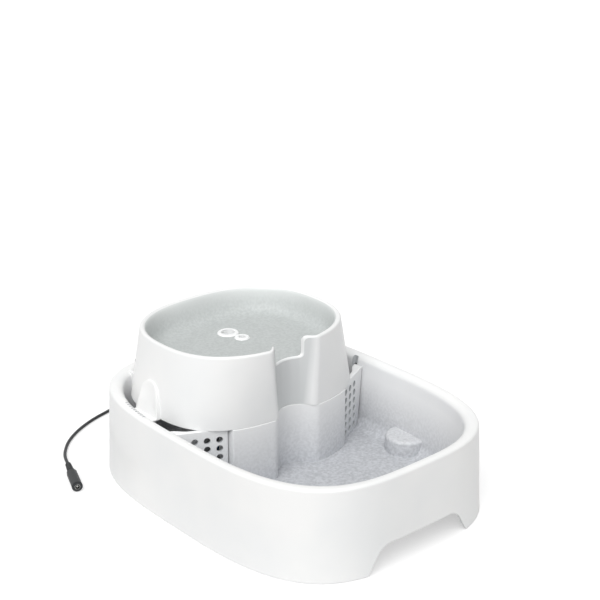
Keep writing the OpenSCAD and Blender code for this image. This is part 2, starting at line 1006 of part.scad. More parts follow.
// From the gland over the back rim, down the wall and along it to the coil
lead_in = [
    [-33.4, 140.7, 56.8], [-38, 140.7, 56.8], [-44.5, 142, 55.8], [-50, 147, 54], [-53.5, 153.5, 54.5],
    [-55.5, 160.5, 58], [-56.5, 166.5, 64], [-57, 171, 72], [-57, 175, 81], [-57, 177.4, 88],
    [-57, 178.7, 93.2], [-57, 182.3, 97.6], [-57, 187.4, 99.4], [-57, 192.7, 98], [-57, 196.3, 93.8],
    [-57, 197.3, 87], [-57, 197.2, 76], [-57, 197.4, 60], [-57, 198, 42], [-57, 199, 28],
    [-55.5, 201, 16], [-51, 204, 7.6], [-43.5, 207, 3.6], [-33, 209.6, 2.8], [-20, 211, 2.7]
];
// From the coil along the floor round the tub's back corner to the socket
lead_out = [
    [-20, 274.2, 6], [-35, 273, 3.6], [-52, 270.4, 2], [-72, 265, 1.9], [-92, 257, 1.9],
    [-112, 246, 1.9], [-130, 232, 1.9], [-145, 215, 2.4], [-155, 199, 4.4]
];
socket_at = [-163, 181, 6];
socket_turn = 248;
socket_head = [cos(socket_turn), sin(socket_turn), 0];

function spread(points, i) = points[max(0, min(len(points) - 1, i))];
function curve_point(a, b, c, d, t) =
    (2 * b + (c - a) * t + (2 * a - 5 * b + 4 * c - d) * t * t + (3 * b - a - 3 * c + d) * t * t * t) / 2;
// The route's points joined by one smooth curve between two straight ends
function smooth_route(points, parts = 2) = concat([points[0]], [
    for (i = [1:len(points) - 3], j = [0:parts - 1])
        curve_point(points[i - 1], points[i], points[i + 1], points[i + 2], j / parts)
], [points[len(points) - 2], points[len(points) - 1]]);

function unit(v) = v / norm(v);
function tangent(path, i) = unit(spread(path, i + 1) - spread(path, i - 1));
function square_to(v, t) = unit(v - (v * t) * t);
// Rings carried along the path without twist
function rings(path, r, sides) = [
    for (
        i = 0, t = tangent(path, 0), u = square_to([0.3, 0.2, 1], t);
        i < len(path);
        i = i + 1, t = tangent(path, min(i, len(path) - 1)), u = square_to(u, t)
    )
        for (k = [0:sides - 1])
            path[i] + r * (cos(360 * k / sides) * u + sin(360 * k / sides) * cross(t, u))
];

module swept(path, r, sides) {
    last = (len(path) - 1) * sides;
    polyhedron(
        points = rings(path, r, sides),
        faces = concat(
            [for (k = [1:sides - 2]) [0, k, k + 1]],
            [for (k = [1:sides - 2]) [last, last + k + 1, last + k]],
            [
                for (i = [0:sides:last - 1], k = [0:sides - 1])
                    [i + k, i + k + sides, i + (k + 1) % sides + sides]
            ],
            [
                for (i = [0:sides:last - 1], k = [0:sides - 1])
                    [i + k, i + (k + 1) % sides + sides, i + (k + 1) % sides]
            ]
        )
    );
}

// The coil's line: in and out again in two layers, with the climb where it turns back
function coil_radius(turn) = coil_out - coil_pitch * min(turn, coil_turns - turn);
function coil_climb(turn) = max(0, min(1, 2 * (turn - coil_turns / 2) + 0.5));
function coil_line() = [
    for (i = [0:coil_turns * coil_steps])
        let (turn = i / coil_steps, a = 360 * turn - 90)
        coil_at + [coil_radius(turn) * cos(a), coil_radius(turn) * sin(a), coil_pitch * coil_climb(turn)]
];
coil_start = coil_at + [-lead_d - 0.4, -coil_out, 0];
coil_end = coil_at + [-lead_d - 0.4, coil_out, coil_pitch];
coil_path = concat([coil_start], coil_line(), [coil_end]);
coil_least_gap = min([
    for (i = [0:len(coil_path) - 13], j = [i + 12:len(coil_path) - 1])
        norm(coil_path[i] - coil_path[j])
]) - lead_d;

module pump_lead() {
    color([0.12, 0.12, 0.13])
        swept(smooth_route(concat(lead_in, [coil_start - [4, 0, 0], coil_start])), lead_r, lead_sides);
}

module lead_coil() {
    echo(str("least gap between the coil's turns: ", coil_least_gap, " mm"));
    color([0.12, 0.12, 0.13])
        swept(coil_path, lead_r, coil_sides);
}

module lead_end() {
    color([0.12, 0.12, 0.13])
        swept(
            smooth_route(concat([coil_end, coil_end - [4, 0, 0]], lead_out, [socket_at - 6 * socket_head, socket_at])),
            lead_r, lead_sides
        );
}

// Band round the coil's turns that keeps them together
module coil_tie() {
    room = 0.25;
    thick = 0.6;
    low = [coil_in - lead_r - room, -2.5, coil_at.z - lead_r - room];
    high = [coil_out + lead_r + room, 2.5, coil_at.z + coil_pitch + lead_r + room];
    color("black")
        translate([coil_at.x, coil_at.y, 0])
            difference() {
                translate(low - [thick, 0, thick])
                    cube(high - low + [2 * thick, 0, 2 * thick]);
                translate(low - [0, 1, 0])
                    cube(high - low + [0, 2, 0]);
            }
}

relief_length = 19.5;
socket_length = 56;

module on_socket_axis() {
    translate(socket_at)
        rotate(socket_turn)
            rotate([0, 90, 0])
                children();
}

// Inline socket: ribbed relief, collar and eight-sided head with a round mouth
module socket_shell() {
    ribs = 5;
    color([0.12, 0.12, 0.13])
        on_socket_axis() {
            rotate_extrude()
                polygon(concat(
                    [[0, 0], [2.4, 0]],
                    [
                        for (i = [0:ribs - 1], j = [0:3])
                            [2.5 + 0.15 * i + (j == 1 || j == 2 ? 0.7 : 0), 2 + i * 3.4 + [0, 0.2, 1.6, 1.8][j]]
                    ],
                    [[3.3, relief_length], [4.4, relief_length + 1.5], [4.4, relief_length + 3], [0, relief_length + 3]]
                ));
            difference() {
                union() {
                    translate([0, 0, relief_length + 3])
                        rotate(22.5)
                            cylinder(h = socket_length - relief_length - 6, r = socket_d * 0.41, $fn = 8);
                    translate([0, 0, socket_length - 3])
                        cylinder(h = 2, r = socket_d * 0.42);
                    translate([0, 0, socket_length - 1])
                        cylinder(h = 1, r = socket_d * 0.36);
                }
                translate([0, 0, socket_length - 10])
                    cylinder(h = 20, r = 2.9);
            }
        }
}

module socket_contact() {
    color("silver")
        on_socket_axis() {
            difference() {
                translate([0, 0, socket_length - 9.9])
                    cylinder(h = 9.5, r = 2.88);
                translate([0, 0, socket_length - 8.9])
                    cylinder(h = 20, r = 2.5);
            }
            translate([0, 0, socket_length - 9])
                cylinder(h = 7.5, r = 1);
        }
}

// ---------------------------------------------------------------- assembly

base_tub();
front_divider();
left_bay_wall();
right_bay_wall();
left_strainer();
right_strainer();
top_bowl();
inlet_collar();
return_collar();
pump_housing();
intake_cover();
volute_cover();
pump_feet();
rating_plate();
pump_outlet();
cable_gland();
stator_core();
stator_coil();
rotor_shaft();
shaft_bushes();
riser_tube();
return_tube();
return_foot();
rotor_magnet();
impeller();
filter_holder();
cartridge_tray();
cartridge_lid();
filter_media();
pump_lead();
lead_coil();
coil_tie();
lead_end();
socket_shell();
socket_contact();
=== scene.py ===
"""Looks of the pet water fountain: moulded tub and bowl, pump with its tubes, framed filter and lead.

Sizes in this file are millimetres in the CAD frame; MM turns them into Blender's metres.
"""

import math

import bmesh
import bpy
from mathutils import Matrix, Vector


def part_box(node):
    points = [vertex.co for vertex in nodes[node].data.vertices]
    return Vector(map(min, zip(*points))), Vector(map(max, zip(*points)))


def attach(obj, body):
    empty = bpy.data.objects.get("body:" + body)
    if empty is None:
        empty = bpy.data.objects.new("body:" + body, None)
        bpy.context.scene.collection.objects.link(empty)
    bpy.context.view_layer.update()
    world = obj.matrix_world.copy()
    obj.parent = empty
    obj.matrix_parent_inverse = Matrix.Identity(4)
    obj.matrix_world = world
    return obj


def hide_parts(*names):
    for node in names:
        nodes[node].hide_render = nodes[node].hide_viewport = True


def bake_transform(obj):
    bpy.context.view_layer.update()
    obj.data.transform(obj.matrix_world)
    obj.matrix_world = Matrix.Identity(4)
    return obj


MM = 0.001
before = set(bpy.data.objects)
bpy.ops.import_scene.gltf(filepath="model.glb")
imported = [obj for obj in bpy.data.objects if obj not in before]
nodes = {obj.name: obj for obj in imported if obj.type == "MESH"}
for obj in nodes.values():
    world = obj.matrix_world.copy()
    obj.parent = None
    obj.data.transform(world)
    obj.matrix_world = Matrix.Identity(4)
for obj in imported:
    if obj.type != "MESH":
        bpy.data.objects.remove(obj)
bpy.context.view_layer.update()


def corners(node):
    """Lowest and highest corner of a CAD node, in millimetres."""
    low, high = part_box(node)
    return low / MM, high / MM


# heights of the bowl's lower and upper edge, which the materials follow too
LEDGE_Z = 87
BOWL_TOP_Z = 164


# ---- camera

CAMERA_AT = Vector((-887.83, -1035.69, 730.73))
CAMERA_YAW = 0.7172256
CAMERA_PITCH = 0.3655623
FOCAL_PIXELS = 1429.284
PHOTO_PIXELS = 600

camera_data = bpy.data.cameras.new("camera")
camera_data.sensor_width = 36
camera_data.lens = FOCAL_PIXELS * camera_data.sensor_width / PHOTO_PIXELS
camera_data.clip_end = 20
camera = bpy.data.objects.new("camera", camera_data)
camera.location = CAMERA_AT * MM
camera.rotation_euler = (math.pi / 2 - CAMERA_PITCH, 0, -CAMERA_YAW)
bpy.context.scene.collection.objects.link(camera)
bpy.context.scene.camera = camera


# ---- materials


def linear(hex_code):
    """An sRGB hex value as the linear colour that shaders read."""
    shares = [int(hex_code[i : i + 2], 16) / 255 for i in (1, 3, 5)]
    return (*(c / 12.92 if c <= 0.04045 else ((c + 0.055) / 1.055) ** 2.4 for c in shares), 1.0)


def add(tree, kind, inputs=(), give=0, **settings):
    """The output of a new shader node, made with its settings, its values and its links."""
    node = tree.nodes.new("ShaderNode" + kind)
    for name, value in settings.items():
        setattr(node, name, value)
    for name, value in dict(inputs).items():
        if isinstance(value, bpy.types.NodeSocket):
            tree.links.new(value, node.inputs[name])
        else:
            node.inputs[name].default_value = value
    return node.outputs[give]


def new_finish(name, **values):
    """A new material with one Principled shader, and its node tree."""
    material = bpy.data.materials.new(name)
    material.use_nodes = True
    shader = material.node_tree.nodes["Principled BSDF"]
    for socket, value in values.items():
        shader.inputs[socket.replace("_", " ")].default_value = value
    return material, material.node_tree


def finished(material, **sources):
    """The material, its shader's sockets linked to what its pattern gives."""
    tree = material.node_tree
    for socket, source in sources.items():
        tree.links.new(source, tree.nodes["Principled BSDF"].inputs[socket.replace("_", " ")])
    return material


def per_metre(grain_mm):
    """Scale of a noise whose grains are about so many millimetres across."""
    return 0.5 / (grain_mm * MM)


def moulded(name, dark, light, roughness, grain_mm=0.9, grain_depth=0.02, cloud_mm=45, **values):
    """Injection-moulded plastic.

    A cloud of the melt's flow shifts the colour and the gloss a little, wide sink marks bend the
    reflections, and the mould's spark-eroded grain breaks them up. The grain is drawn at about
    a millimetre, coarser than the real tenth of one, so that it shows.
    """
    material, tree = new_finish(name, **values)
    place = add(tree, "TexCoord", give="Object")
    cloud = add(tree, "TexNoise", {"Vector": place, "Scale": per_metre(cloud_mm), "Detail": 3.0})
    fine = add(tree, "TexNoise", {"Vector": place, "Scale": per_metre(grain_mm), "Detail": 1.0})
    flow = add(tree, "MapRange", {"Value": cloud, "From Min": 0.35, "From Max": 0.65})
    colour = add(tree, "Mix", {0: flow, 6: linear(dark), 7: linear(light)}, 2, data_type="RGBA")
    span = {"To Min": roughness - 0.04, "To Max": roughness + 0.05}
    gloss = add(tree, "MapRange", {"Value": flow, **span})
    sink = add(tree, "Bump", {"Height": cloud, "Distance": 0.1 * MM})
    skin = add(tree, "Bump", {"Height": fine, "Distance": grain_depth * MM, "Normal": sink})
    return finished(material, Base_Color=colour, Roughness=gloss, Normal=skin)


def eroded_with_painted_shade(name, low_tones, high_tones, fade_low, fade_high, depth=0.05):
    """Plastic as the mould's coarser inner face leaves it.

    The water side is spark-eroded more deeply than the outside, so it looks matt and finely
    speckled, and it turns into the smooth outer finish as it nears the rim. Its colour also carries
    painted shade: darker tones low down, where shade falls, and lighter ones higher up.
    The speckle is drawn at a millimetre and a half, coarser than the real one, so that it shows.
    """
    material, tree = new_finish(name)
    place = add(tree, "TexCoord", give="Object")
    height = add(tree, "SeparateXYZ", {"Vector": place}, "Z")
    span = {"From Min": fade_low * MM, "From Max": fade_high * MM}
    rise = add(tree, "MapRange", {"Value": height, **span})
    speckle = add(tree, "TexNoise", {"Vector": place, "Scale": per_metre(1.5), "Detail": 1.5})
    flow = add(tree, "TexNoise", {"Vector": place, "Scale": per_metre(60), "Detail": 2.0})
    tones = []
    for pattern, low, high, (dark, light) in (
        (speckle, 0.34, 0.66, low_tones),
        (flow, 0.35, 0.65, high_tones),
    ):
        share = add(tree, "MapRange", {"Value": pattern, "From Min": low, "From Max": high})
        ends = {6: linear(dark), 7: linear(light)}
        tones.append(add(tree, "Mix", {0: share, **ends}, 2, data_type="RGBA"))
    # painted shade: the darker tones low down, fading into the lighter ones higher up
    colour = add(tree, "Mix", {0: rise, 6: tones[0], 7: tones[1]}, 2, data_type="RGBA")
    gloss = add(tree, "MapRange", {"Value": rise, "To Min": 0.58, "To Max": 0.38})
    skin = add(tree, "Bump", {"Height": speckle, "Distance": depth * MM, "Strength": 0.6})
    return finished(material, Base_Color=colour, Roughness=gloss, Normal=skin)


def painted_recess_shade(material):
    """Paints shade into white plastic: a little grey in the bowl's recess, where shade falls.

    The grey fades out round the recess's two corners, which stand further apart near the rim.
    """
    tree = material.node_tree
    white = tree.nodes["Principled BSDF"].inputs["Base Color"].links[0].from_socket
    place = add(tree, "SeparateXYZ", {"Vector": add(tree, "TexCoord", give="Object")}).node.outputs
    aside = add(tree, "Math", {0: place["X"]}, operation="ABSOLUTE")
    bowl_height = {"From Min": LEDGE_Z * MM, "From Max": BOWL_TOP_Z * MM}
    corner_x = {"To Min": 21 * MM, "To Max": 29 * MM}
    corner = add(tree, "MapRange", {"Value": place["Z"], **bowl_height, **corner_x})
    past = add(tree, "Math", {0: aside, 1: corner}, operation="SUBTRACT")
    share = 1.0
    for value, full, none in ((past, -4, 1), (place["Y"], 20, 30)):
        span = {"From Min": full * MM, "From Max": none * MM, "To Min": 1.0, "To Max": 0.0}
        fade = add(tree, "MapRange", {"Value": value, **span})
        share = add(tree, "Math", {0: fade, 1: share}, operation="MULTIPLY")
    # painted shade: the recess's grey
    grey = add(tree, "Mix", {0: share, 6: white, 7: linear("#D4D6D6")}, 2, data_type="RGBA")
    return finished(material, Base_Color=grey)


def needled_felt():
    """Spun polyester felt: off-white and matt, with crossing fibres about half a millimetre apart."""
    fibre_mm = (1.923, 0.5556, 0.25)
    material, tree = new_finish("polyester_needled_felt", Roughness=0.92, Sheen_Weight=0.3)
    place = add(tree, "TexCoord", give="Object")
    fibres = []
    for turn in (0.5, 2.1):
        lie = {"Rotation": (0, turn, 0), "Scale": [per_metre(size) for size in fibre_mm]}
        laid = add(tree, "Mapping", {"Vector": place, **lie})
        fibres.append(add(tree, "TexNoise", {"Vector": laid, "Scale": 1.0, "Detail": 2.0}))
    tangle = add(tree, "Math", {0: fibres[0], 1: fibres[1]}, operation="ADD")
    shade = add(tree, "MapRange", {"Value": tangle, "From Min": 0.7, "From Max": 1.3})
    ends = {6: linear("#D3D3D2"), 7: linear("#EDEDEB")}
    colour = add(tree, "Mix", {0: shade, **ends}, 2, data_type="RGBA")
    pile = add(tree, "Bump", {"Height": tangle, "Distance": 0.4 * MM, "Strength": 0.8})
    return finished(material, Base_Color=colour, Normal=pile)


def layered_metal(name, dark, light, pitch_mm, axis, roughness, depth_mm):
    """Metal in thin layers: the steps of sheets or turns of wire across one axis.

    The wave node repeats its bands every tenth of pi, so that length stands for one layer.
    """
    material, tree = new_finish(name, Metallic=1.0, Roughness=roughness)
    place = add(tree, "TexCoord", give="Object")
    waves = {"Vector": place, "Scale": math.pi / (10 * pitch_mm * MM), "Distortion": 0.3}
    layers = add(tree, "TexWave", waves, "Fac", bands_direction=axis)
    colour = add(tree, "Mix", {0: layers, 6: linear(dark), 7: linear(light)}, 2, data_type="RGBA")
    steps = add(tree, "Bump", {"Height": layers, "Distance": depth_mm * MM})
    return finished(material, Base_Color=colour, Normal=steps)


# moulded: darker and lighter tone, roughness, then the grain's size and depth and the cloud's size in mm

# White ABS, moulded in a satin tool: dense, with soft broad highlights
WHITE = ("#EBECEC", "#F1F1F0", 0.36)
abs_white = moulded("abs_moulded_white", *WHITE, Coat_Weight=0.05)
# the skirt: the same white, with painted shade in the bowl's front recess
abs_skirt = painted_recess_shade(moulded("abs_moulded_skirt_recess_shade", *WHITE, Coat_Weight=0.05))
# The same ABS on the water side, from a coarser tool: matt, finely speckled, smooth near the rim,
# and with painted shade that darkens it low down
abs_basin = eroded_with_painted_shade("abs_eroded_basin_painted_shade", ("#A9ABAF", "#BFC1C5"), ("#E6E7E8", "#ECECEC"), 22, 78)
# the bowl's dish: the same white, drawn greyer as painted shade, and lighter towards its rim
abs_dish = eroded_with_painted_shade("abs_eroded_dish_painted_shade", ("#B4B8B7", "#BFC3C2"), ("#D3D6D5", "#DEE1E0"), 139, 162, 0.04)
abs_divider = eroded_with_painted_shade("abs_eroded_divider_painted_shade", ("#BCBEC2", "#CDCFD3"), ("#EFF0F0", "#F4F4F4"), 24, 90)
# the holder's back panel: speckled, and a touch greyer than the holder as painted shade in the sleeve
abs_panel = eroded_with_painted_shade("abs_eroded_panel_painted_shade", ("#E4E5E6", "#F2F2F2"), ("#E8E9EA", "#EFEFEF"), 56, 130)
# The undrafted sides of grooves, slots and holes, left rough by the tool: dull, and drawn darker as painted
# shade
abs_painted_groove_shade = moulded("abs_rough_painted_groove_shade", "#BBBEC0", "#C9CCCE", 0.6, grain_depth=0.04)
# ABS of the filter holder, a touch matter than the tub
abs_holder = moulded("abs_moulded_holder", "#F3F3F3", "#F7F7F6", 0.42, grain_depth=0.03)
# Natural polypropylene, moulded thin: waxy, slightly see-through grey
SEE_THROUGH = {"Subsurface_Weight": 0.1, "Subsurface_Radius": (0.003, 0.003, 0.003)}
pp_grey = moulded("polypropylene_natural", "#F0F1F1", "#F5F6F6", 0.34, cloud_mm=12, **SEE_THROUGH)
# Charcoal ABS of the pump, with a fine matt grain
abs_charcoal = moulded("abs_moulded_charcoal", "#1E2226", "#282C31", 0.44, 0.7, 0.05, 14)
# Black thermoplastic rubber: dull and soft
rubber_black = moulded("rubber_dull_black", "#202224", "#2A2C2F", 0.68, 0.8, 0.06, 8)
# White polyester label film, smooth with a slight gloss
label_film = moulded("polyester_film_bare", "#F2F3F3", "#F8F8F8", 0.28, 2.5, 0.01, 9)
# Blue polypropylene of the cartridge frame, waxy and even
pp_blue = moulded("polypropylene_blue", "#2B8FD8", "#3AA0E8", 0.33, 0.8, 0.03, 22)
# The same, on the narrow undrafted sides of windows and seams: rougher, and drawn darker as painted shade
pp_blue_painted_side_shade = moulded("polypropylene_blue_painted_shade", "#1D5F9F", "#276CAE", 0.6, 0.8, 0.04, 22)
# Fixed alumina shaft, ground to a fine sheen
ceramic = moulded("alumina_ground", "#E2DFD6", "#ECEAE3", 0.22, 0.6, 0.01, 5)
# Glass-filled nylon of the impeller, moulded: cream and dull
nylon = moulded("nylon_moulded", "#D8D4C4", "#E4E0D2", 0.45, cloud_mm=7)
# Sintered ferrite of the magnet: near black, gritty
ferrite = moulded("ferrite_sintered", "#2B2B2D", "#3A3A3C", 0.55, 0.6, 0.08, 4)
# Soft PVC jacket of the lead, extruded: black with a low sheen
pvc_black = moulded("pvc_extruded_black", "#1B1C1E", "#26282A", 0.5, 0.8, 0.03, 15)
# Stack of silicon steel sheets, drawn a millimetre apart where real ones are half of one
core_steel = layered_metal("silicon_steel_sheets", "#7C7F82", "#A9ACAE", 1.0, "X", 0.42, 0.1)
# Enamelled copper wire, wound in even turns
wire_copper = layered_metal("enamelled_copper_wire", "#8E3F1E", "#C4693A", 0.8, "Z", 0.3, 0.3)
# Nickel-plated contact, with faint turning marks
nickel = layered_metal("nickel_plate", "#A7A8A6", "#BDBEBB", 1.5, "Z", 0.22, 0.01)


# ---- modelling


def as_object(name, bm, materials, smooth_deg=32, even=True):
    """A finished mesh as an object at the origin, with its own materials."""
    mesh = bpy.data.meshes.new(name)
    bm.to_mesh(mesh)
    bm.free()
    for material in materials:
        mesh.materials.append(material)
    for face in mesh.polygons:
        face.use_smooth = True
    mesh.set_sharp_from_angle(angle=math.radians(smooth_deg))
    piece = bpy.data.objects.new(name, mesh)
    bpy.context.scene.collection.objects.link(piece)
    if even:
        piece.modifiers.new("even_shading", "WEIGHTED_NORMAL").keep_sharp = True
    return piece


def ring_edges(bm, ring):
    """Edges of a closed ring of vertices, in its order."""
    return [bm.edges.get((a, b)) for a, b in zip(ring, ring[1:] + ring[:1])]


def next_ring(bm, ring, points, material):
    """Extrudes a closed ring of vertices to the given places and returns the new ring, in order."""
    made = bmesh.ops.extrude_edge_only(bm, edges=ring_edges(bm, ring))["geom"]
    fresh = {v for v in made if isinstance(v, bmesh.types.BMVert)}
    for face in made:
        if isinstance(face, bmesh.types.BMFace):
            face.material_index = material
    new_ring = [next(e.other_vert(v) for e in v.link_edges if e.other_vert(v) in fresh) for v in ring]
    for vertex, point in zip(new_ring, points):
        vertex.co = Vector(point) * MM
    return new_ring


def closed_up(bm):
    """Merges doubles and turns every face outwards."""
    bmesh.ops.remove_doubles(bm, verts=bm.verts, dist=1e-6)
    bmesh.ops.recalc_face_normals(bm, faces=bm.faces)
    return bm


def loft(sections, materials=None, cap=True):
    """Closed skin over rings of equally many points, with flat caps."""
    bm = bmesh.new()
    start = bmesh.ops.create_circle(bm, segments=len(sections[0]), radius=MM)["verts"]
    for vertex, point in zip(start, sections[0]):
        vertex.co = Vector(point) * MM
    materials = materials or [0] * (len(sections) - 1)
    ring = start
    for points, material in zip(sections[1:], materials):
        ring = next_ring(bm, ring, points, material)
    if cap:
        for end, material in ((start, materials[0]), (ring, materials[-1])):
            for face in bmesh.ops.contextual_create(bm, geom=end + ring_edges(bm, end))["faces"]:
                face.material_index = material
    return closed_up(bm)


def sharp_edges(bm, least_deg=30):
    """Edges whose two faces meet at more than an angle."""
    least = math.radians(least_deg)
    return [e for e in bm.edges if len(e.link_faces) == 2 and e.calc_face_angle(0.0) > least]


def both_ends(edges, test):
    """Edges whose two ends pass a test of their place, in millimetres."""
    return [e for e in edges if all(test(v.co / MM) for v in e.verts)]


def round_edges(bm, edges, width, segments):
    """Rounds edges of a mesh by a width in millimetres."""
    form = {"offset_type": "OFFSET", "profile": 0.5, "affect": "EDGES", "clamp_overlap": True}
    bmesh.ops.bevel(bm, geom=edges, offset=width * MM, segments=segments, material=-1, **form)
    return bm


def block(low, high, width=0.0, segments=3):
    """Box between two corners, with round edges."""
    bm = bmesh.new()
    made = bmesh.ops.create_cube(bm, size=1.0)["verts"]
    low, high = Vector(low), Vector(high)
    bmesh.ops.scale(bm, vec=(high - low) * MM, verts=made)
    bmesh.ops.translate(bm, vec=(high + low) / 2 * MM, verts=made)
    if width:
        round_edges(bm, bm.edges[:], width, segments)
    return bm


def cylinder(at, radius, low, high, count=64, taper=0.0):
    """Upright cylinder, wider below by a taper."""
    bm = bmesh.new()
    ends = {"radius1": (radius + taper) * MM, "radius2": radius * MM, "depth": (high - low) * MM}
    made = bmesh.ops.create_cone(bm, cap_ends=True, segments=count, **ends)["verts"]
    bmesh.ops.translate(bm, vec=Vector((at[0], at[1], (low + high) / 2)) * MM, verts=made)
    return bm


def full_turn(count):
    """Evenly spaced angles all the way round, in radians."""
    return [2 * math.pi * k / count for k in range(count)]


def around(centre, radius, angle):
    """Point on a circle in plan."""
    return Vector((centre[0] + radius * math.cos(angle), centre[1] + radius * math.sin(angle)))


FILLET_STEPS = 6


def filleted(turns):
    """Closed outline through corners given as (x, y, radius), each rounded by its radius."""
    outline = []
    for i, (x, y, radius) in enumerate(turns):
        here = Vector((x, y))
        if not radius:
            outline.append(here)
            continue
        before = (Vector(turns[i - 1][:2]) - here).normalized()
        after = (Vector(turns[(i + 1) % len(turns)][:2]) - here).normalized()
        half = before.angle(after) / 2
        centre = here + (before + after).normalized() * radius / math.sin(half)
        first = here + before * radius / math.tan(half) - centre
        last = here + after * radius / math.tan(half) - centre
        start = math.atan2(first.y, first.x)
        sweep = math.remainder(math.atan2(last.y, last.x) - start, 2 * math.pi)
        for k in range(FILLET_STEPS + 1):
            outline.append(around(centre, radius, start + sweep * k / FILLET_STEPS))
    return outline


def prism(outline, low, high, round_low=0.0, round_high=0.0, segments=3):
    """Outline in plan, raised from one height to another, with its two rims rounded."""
    bm = bmesh.new()
    ring = bmesh.ops.create_circle(bm, cap_ends=True, segments=len(outline), radius=MM)["verts"]
    for vertex, point in zip(ring, outline):
        vertex.co = Vector((point.x, point.y, low)) * MM
    made = bmesh.ops.extrude_face_region(bm, geom=bm.faces[:])["geom"]
    raised = [g for g in made if isinstance(g, bmesh.types.BMVert)]
    bmesh.ops.translate(bm, vec=(0, 0, (high - low) * MM), verts=raised)
    closed_up(bm)
    for height, width in ((low, round_low), (high, round_high)):
        if width:
            rim = both_ends(bm.edges, lambda p, z=height: abs(p.z - z) < 1e-4)
            round_edges(bm, rim, width, segments)
    return bm


def upright(bm, back):
    """Stands a flat mesh up on its second axis: its base faces back there, and its top the front."""
    bmesh.ops.rotate(bm, cent=(0, 0, 0), matrix=Matrix.Rotation(math.pi / 2, 3, "X"), verts=bm.verts)
    bmesh.ops.translate(bm, vec=(0, back * MM, 0), verts=bm.verts)
    return bm


def tinted(bm, material):
    """The mesh, with all its faces in one of the object's materials."""
    for face in bm.faces:
        face.material_index = material
    return bm


def merged(*parts):
    """One mesh from several, which are used up."""
    whole = bmesh.new()
    for part in parts:
        carrier = bpy.data.meshes.new("part")
        part.to_mesh(carrier)
        part.free()
        whole.from_mesh(carrier)
        bpy.data.meshes.remove(carrier)
    return whole


def flipped(bm):
    """Mirrored twin of a mesh on the other side of the tub's middle; the mesh itself stays."""
    twin = bm.copy()
    bmesh.ops.scale(twin, vec=(-1, 1, 1), verts=twin.verts)
    bmesh.ops.reverse_faces(twin, faces=twin.faces)
    return twin


def both_sides(bm):
    """The mesh and its mirrored twin, as one."""
    return merged(flipped(bm), bm)


def combined(bm, tool, operation):
    """Exact boolean of two closed meshes, both used up."""
    pair = []
    for name, source in (("body", bm), ("tool", tool)):
        mesh = bpy.data.meshes.new(name)
        source.to_mesh(mesh)
        source.free()
        for _ in range(3):
            mesh.materials.append(None)
        pair.append(bpy.data.objects.new(name, mesh))
        bpy.context.scene.collection.objects.link(pair[-1])
    change = pair[0].modifiers.new("boolean", "BOOLEAN")
    change.object = pair[1]
    change.operation = operation
    change.solver = "EXACT"
    changed = pair[0].evaluated_get(bpy.context.evaluated_depsgraph_get()).to_mesh()
    result = bmesh.new()
    result.from_mesh(changed)
    for used in pair:
        mesh = used.data
        bpy.data.objects.remove(used)
        bpy.data.meshes.remove(mesh)
    return result


def cad_copy(node):
    """Copy of a CAD node's mesh, its loose triangles merged into flat faces."""
    bm = bmesh.new()
    bm.from_mesh(nodes[node].data)
    bmesh.ops.remove_doubles(bm, verts=bm.verts, dist=2e-6)
    bmesh.ops.dissolve_limit(
        bm, angle_limit=math.radians(0.8), use_dissolve_boundaries=False, verts=bm.verts, edges=bm.edges
    )
    return tinted(bm, 0)


def softened(node, width, segments=2):
    """Moulded form of a CAD node, its edges rounded by a width."""
    bm = cad_copy(node)
    return round_edges(bm, sharp_edges(bm), width, segments)


def placed(name, bm, materials, body, slot, *cad_nodes):
    """A finished mesh as a piece on its body, in place of its CAD nodes; the slot it is given is not used.
    """
    piece = as_object(name, bm, materials)
    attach(piece, body)
    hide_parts(*cad_nodes)
    return piece


def power(value, exponent):
    """Power of a value's size, with the value's own sign."""
    return math.copysign(abs(value) ** exponent, value)


def quarter_turn(count):
    """Angles from nought to a right angle, in radians."""
    return [math.radians(90 * i / count) for i in range(count + 1)]


def rounding(radius, count):
    """Steps round a quarter circle: distances left to its two sides, one growing from nought."""
    return [(radius * (1 - math.cos(a)), radius * (1 - math.sin(a))) for a in quarter_turn(count)]


# ---- lead: the cord comes first

LEAD_D = 3.6
LEAD_IN = [
    (-33.4, 140.7, 56.8), (-38, 140.7, 56.8), (-44.5, 142, 55.8), (-50, 147, 54), (-53.5, 153.5, 54.5),
    (-55.5, 160.5, 58), (-56.5, 166.5, 64), (-57, 171, 72), (-57, 175, 81), (-57, 177.4, 88),
    (-57, 178.7, 93.2), (-57, 182.3, 97.6), (-57, 187.4, 99.4), (-57, 192.7, 98), (-57, 196.3, 93.8),
    (-57, 197.3, 87), (-57, 197.2, 76), (-57, 197.4, 60), (-57, 198, 42), (-57, 199, 28),
    (-55.5, 201, 16), (-51, 204, 7.6), (-43.5, 207, 3.6), (-33, 209.6, 2.8), (-20, 211, 2.7),
]
LEAD_OUT = [
    (-20, 274.2, 6), (-35, 273, 3.6), (-52, 270.4, 2), (-72, 265, 1.9), (-92, 257, 1.9),
    (-112, 246, 1.9), (-130, 232, 1.9), (-145, 215, 2.4), (-155, 199, 4.4),
]
SOCKET_AT = Vector((-163, 181, 6))
SOCKET_TURN = math.radians(248)
SOCKET_HEAD = Vector((math.cos(SOCKET_TURN), math.sin(SOCKET_TURN), 0))
COIL_D = 42
COIL_TURNS = 10.5
COIL_STEPS = 24
COIL_PITCH = LEAD_D + 0.5
COIL_AT = Vector((0, 243, LEAD_D / 2 + 0.9))
COIL_OUT = COIL_D / 2 + COIL_TURNS / 4 * COIL_PITCH


def curve_point(a, b, c, d, t):
    """Point between b and c of the smooth curve through four points."""
    return (
        2 * b + (c - a) * t + (2 * a - 5 * b + 4 * c - d) * t**2 + (3 * b - a - 3 * c + d) * t**3
    ) / 2


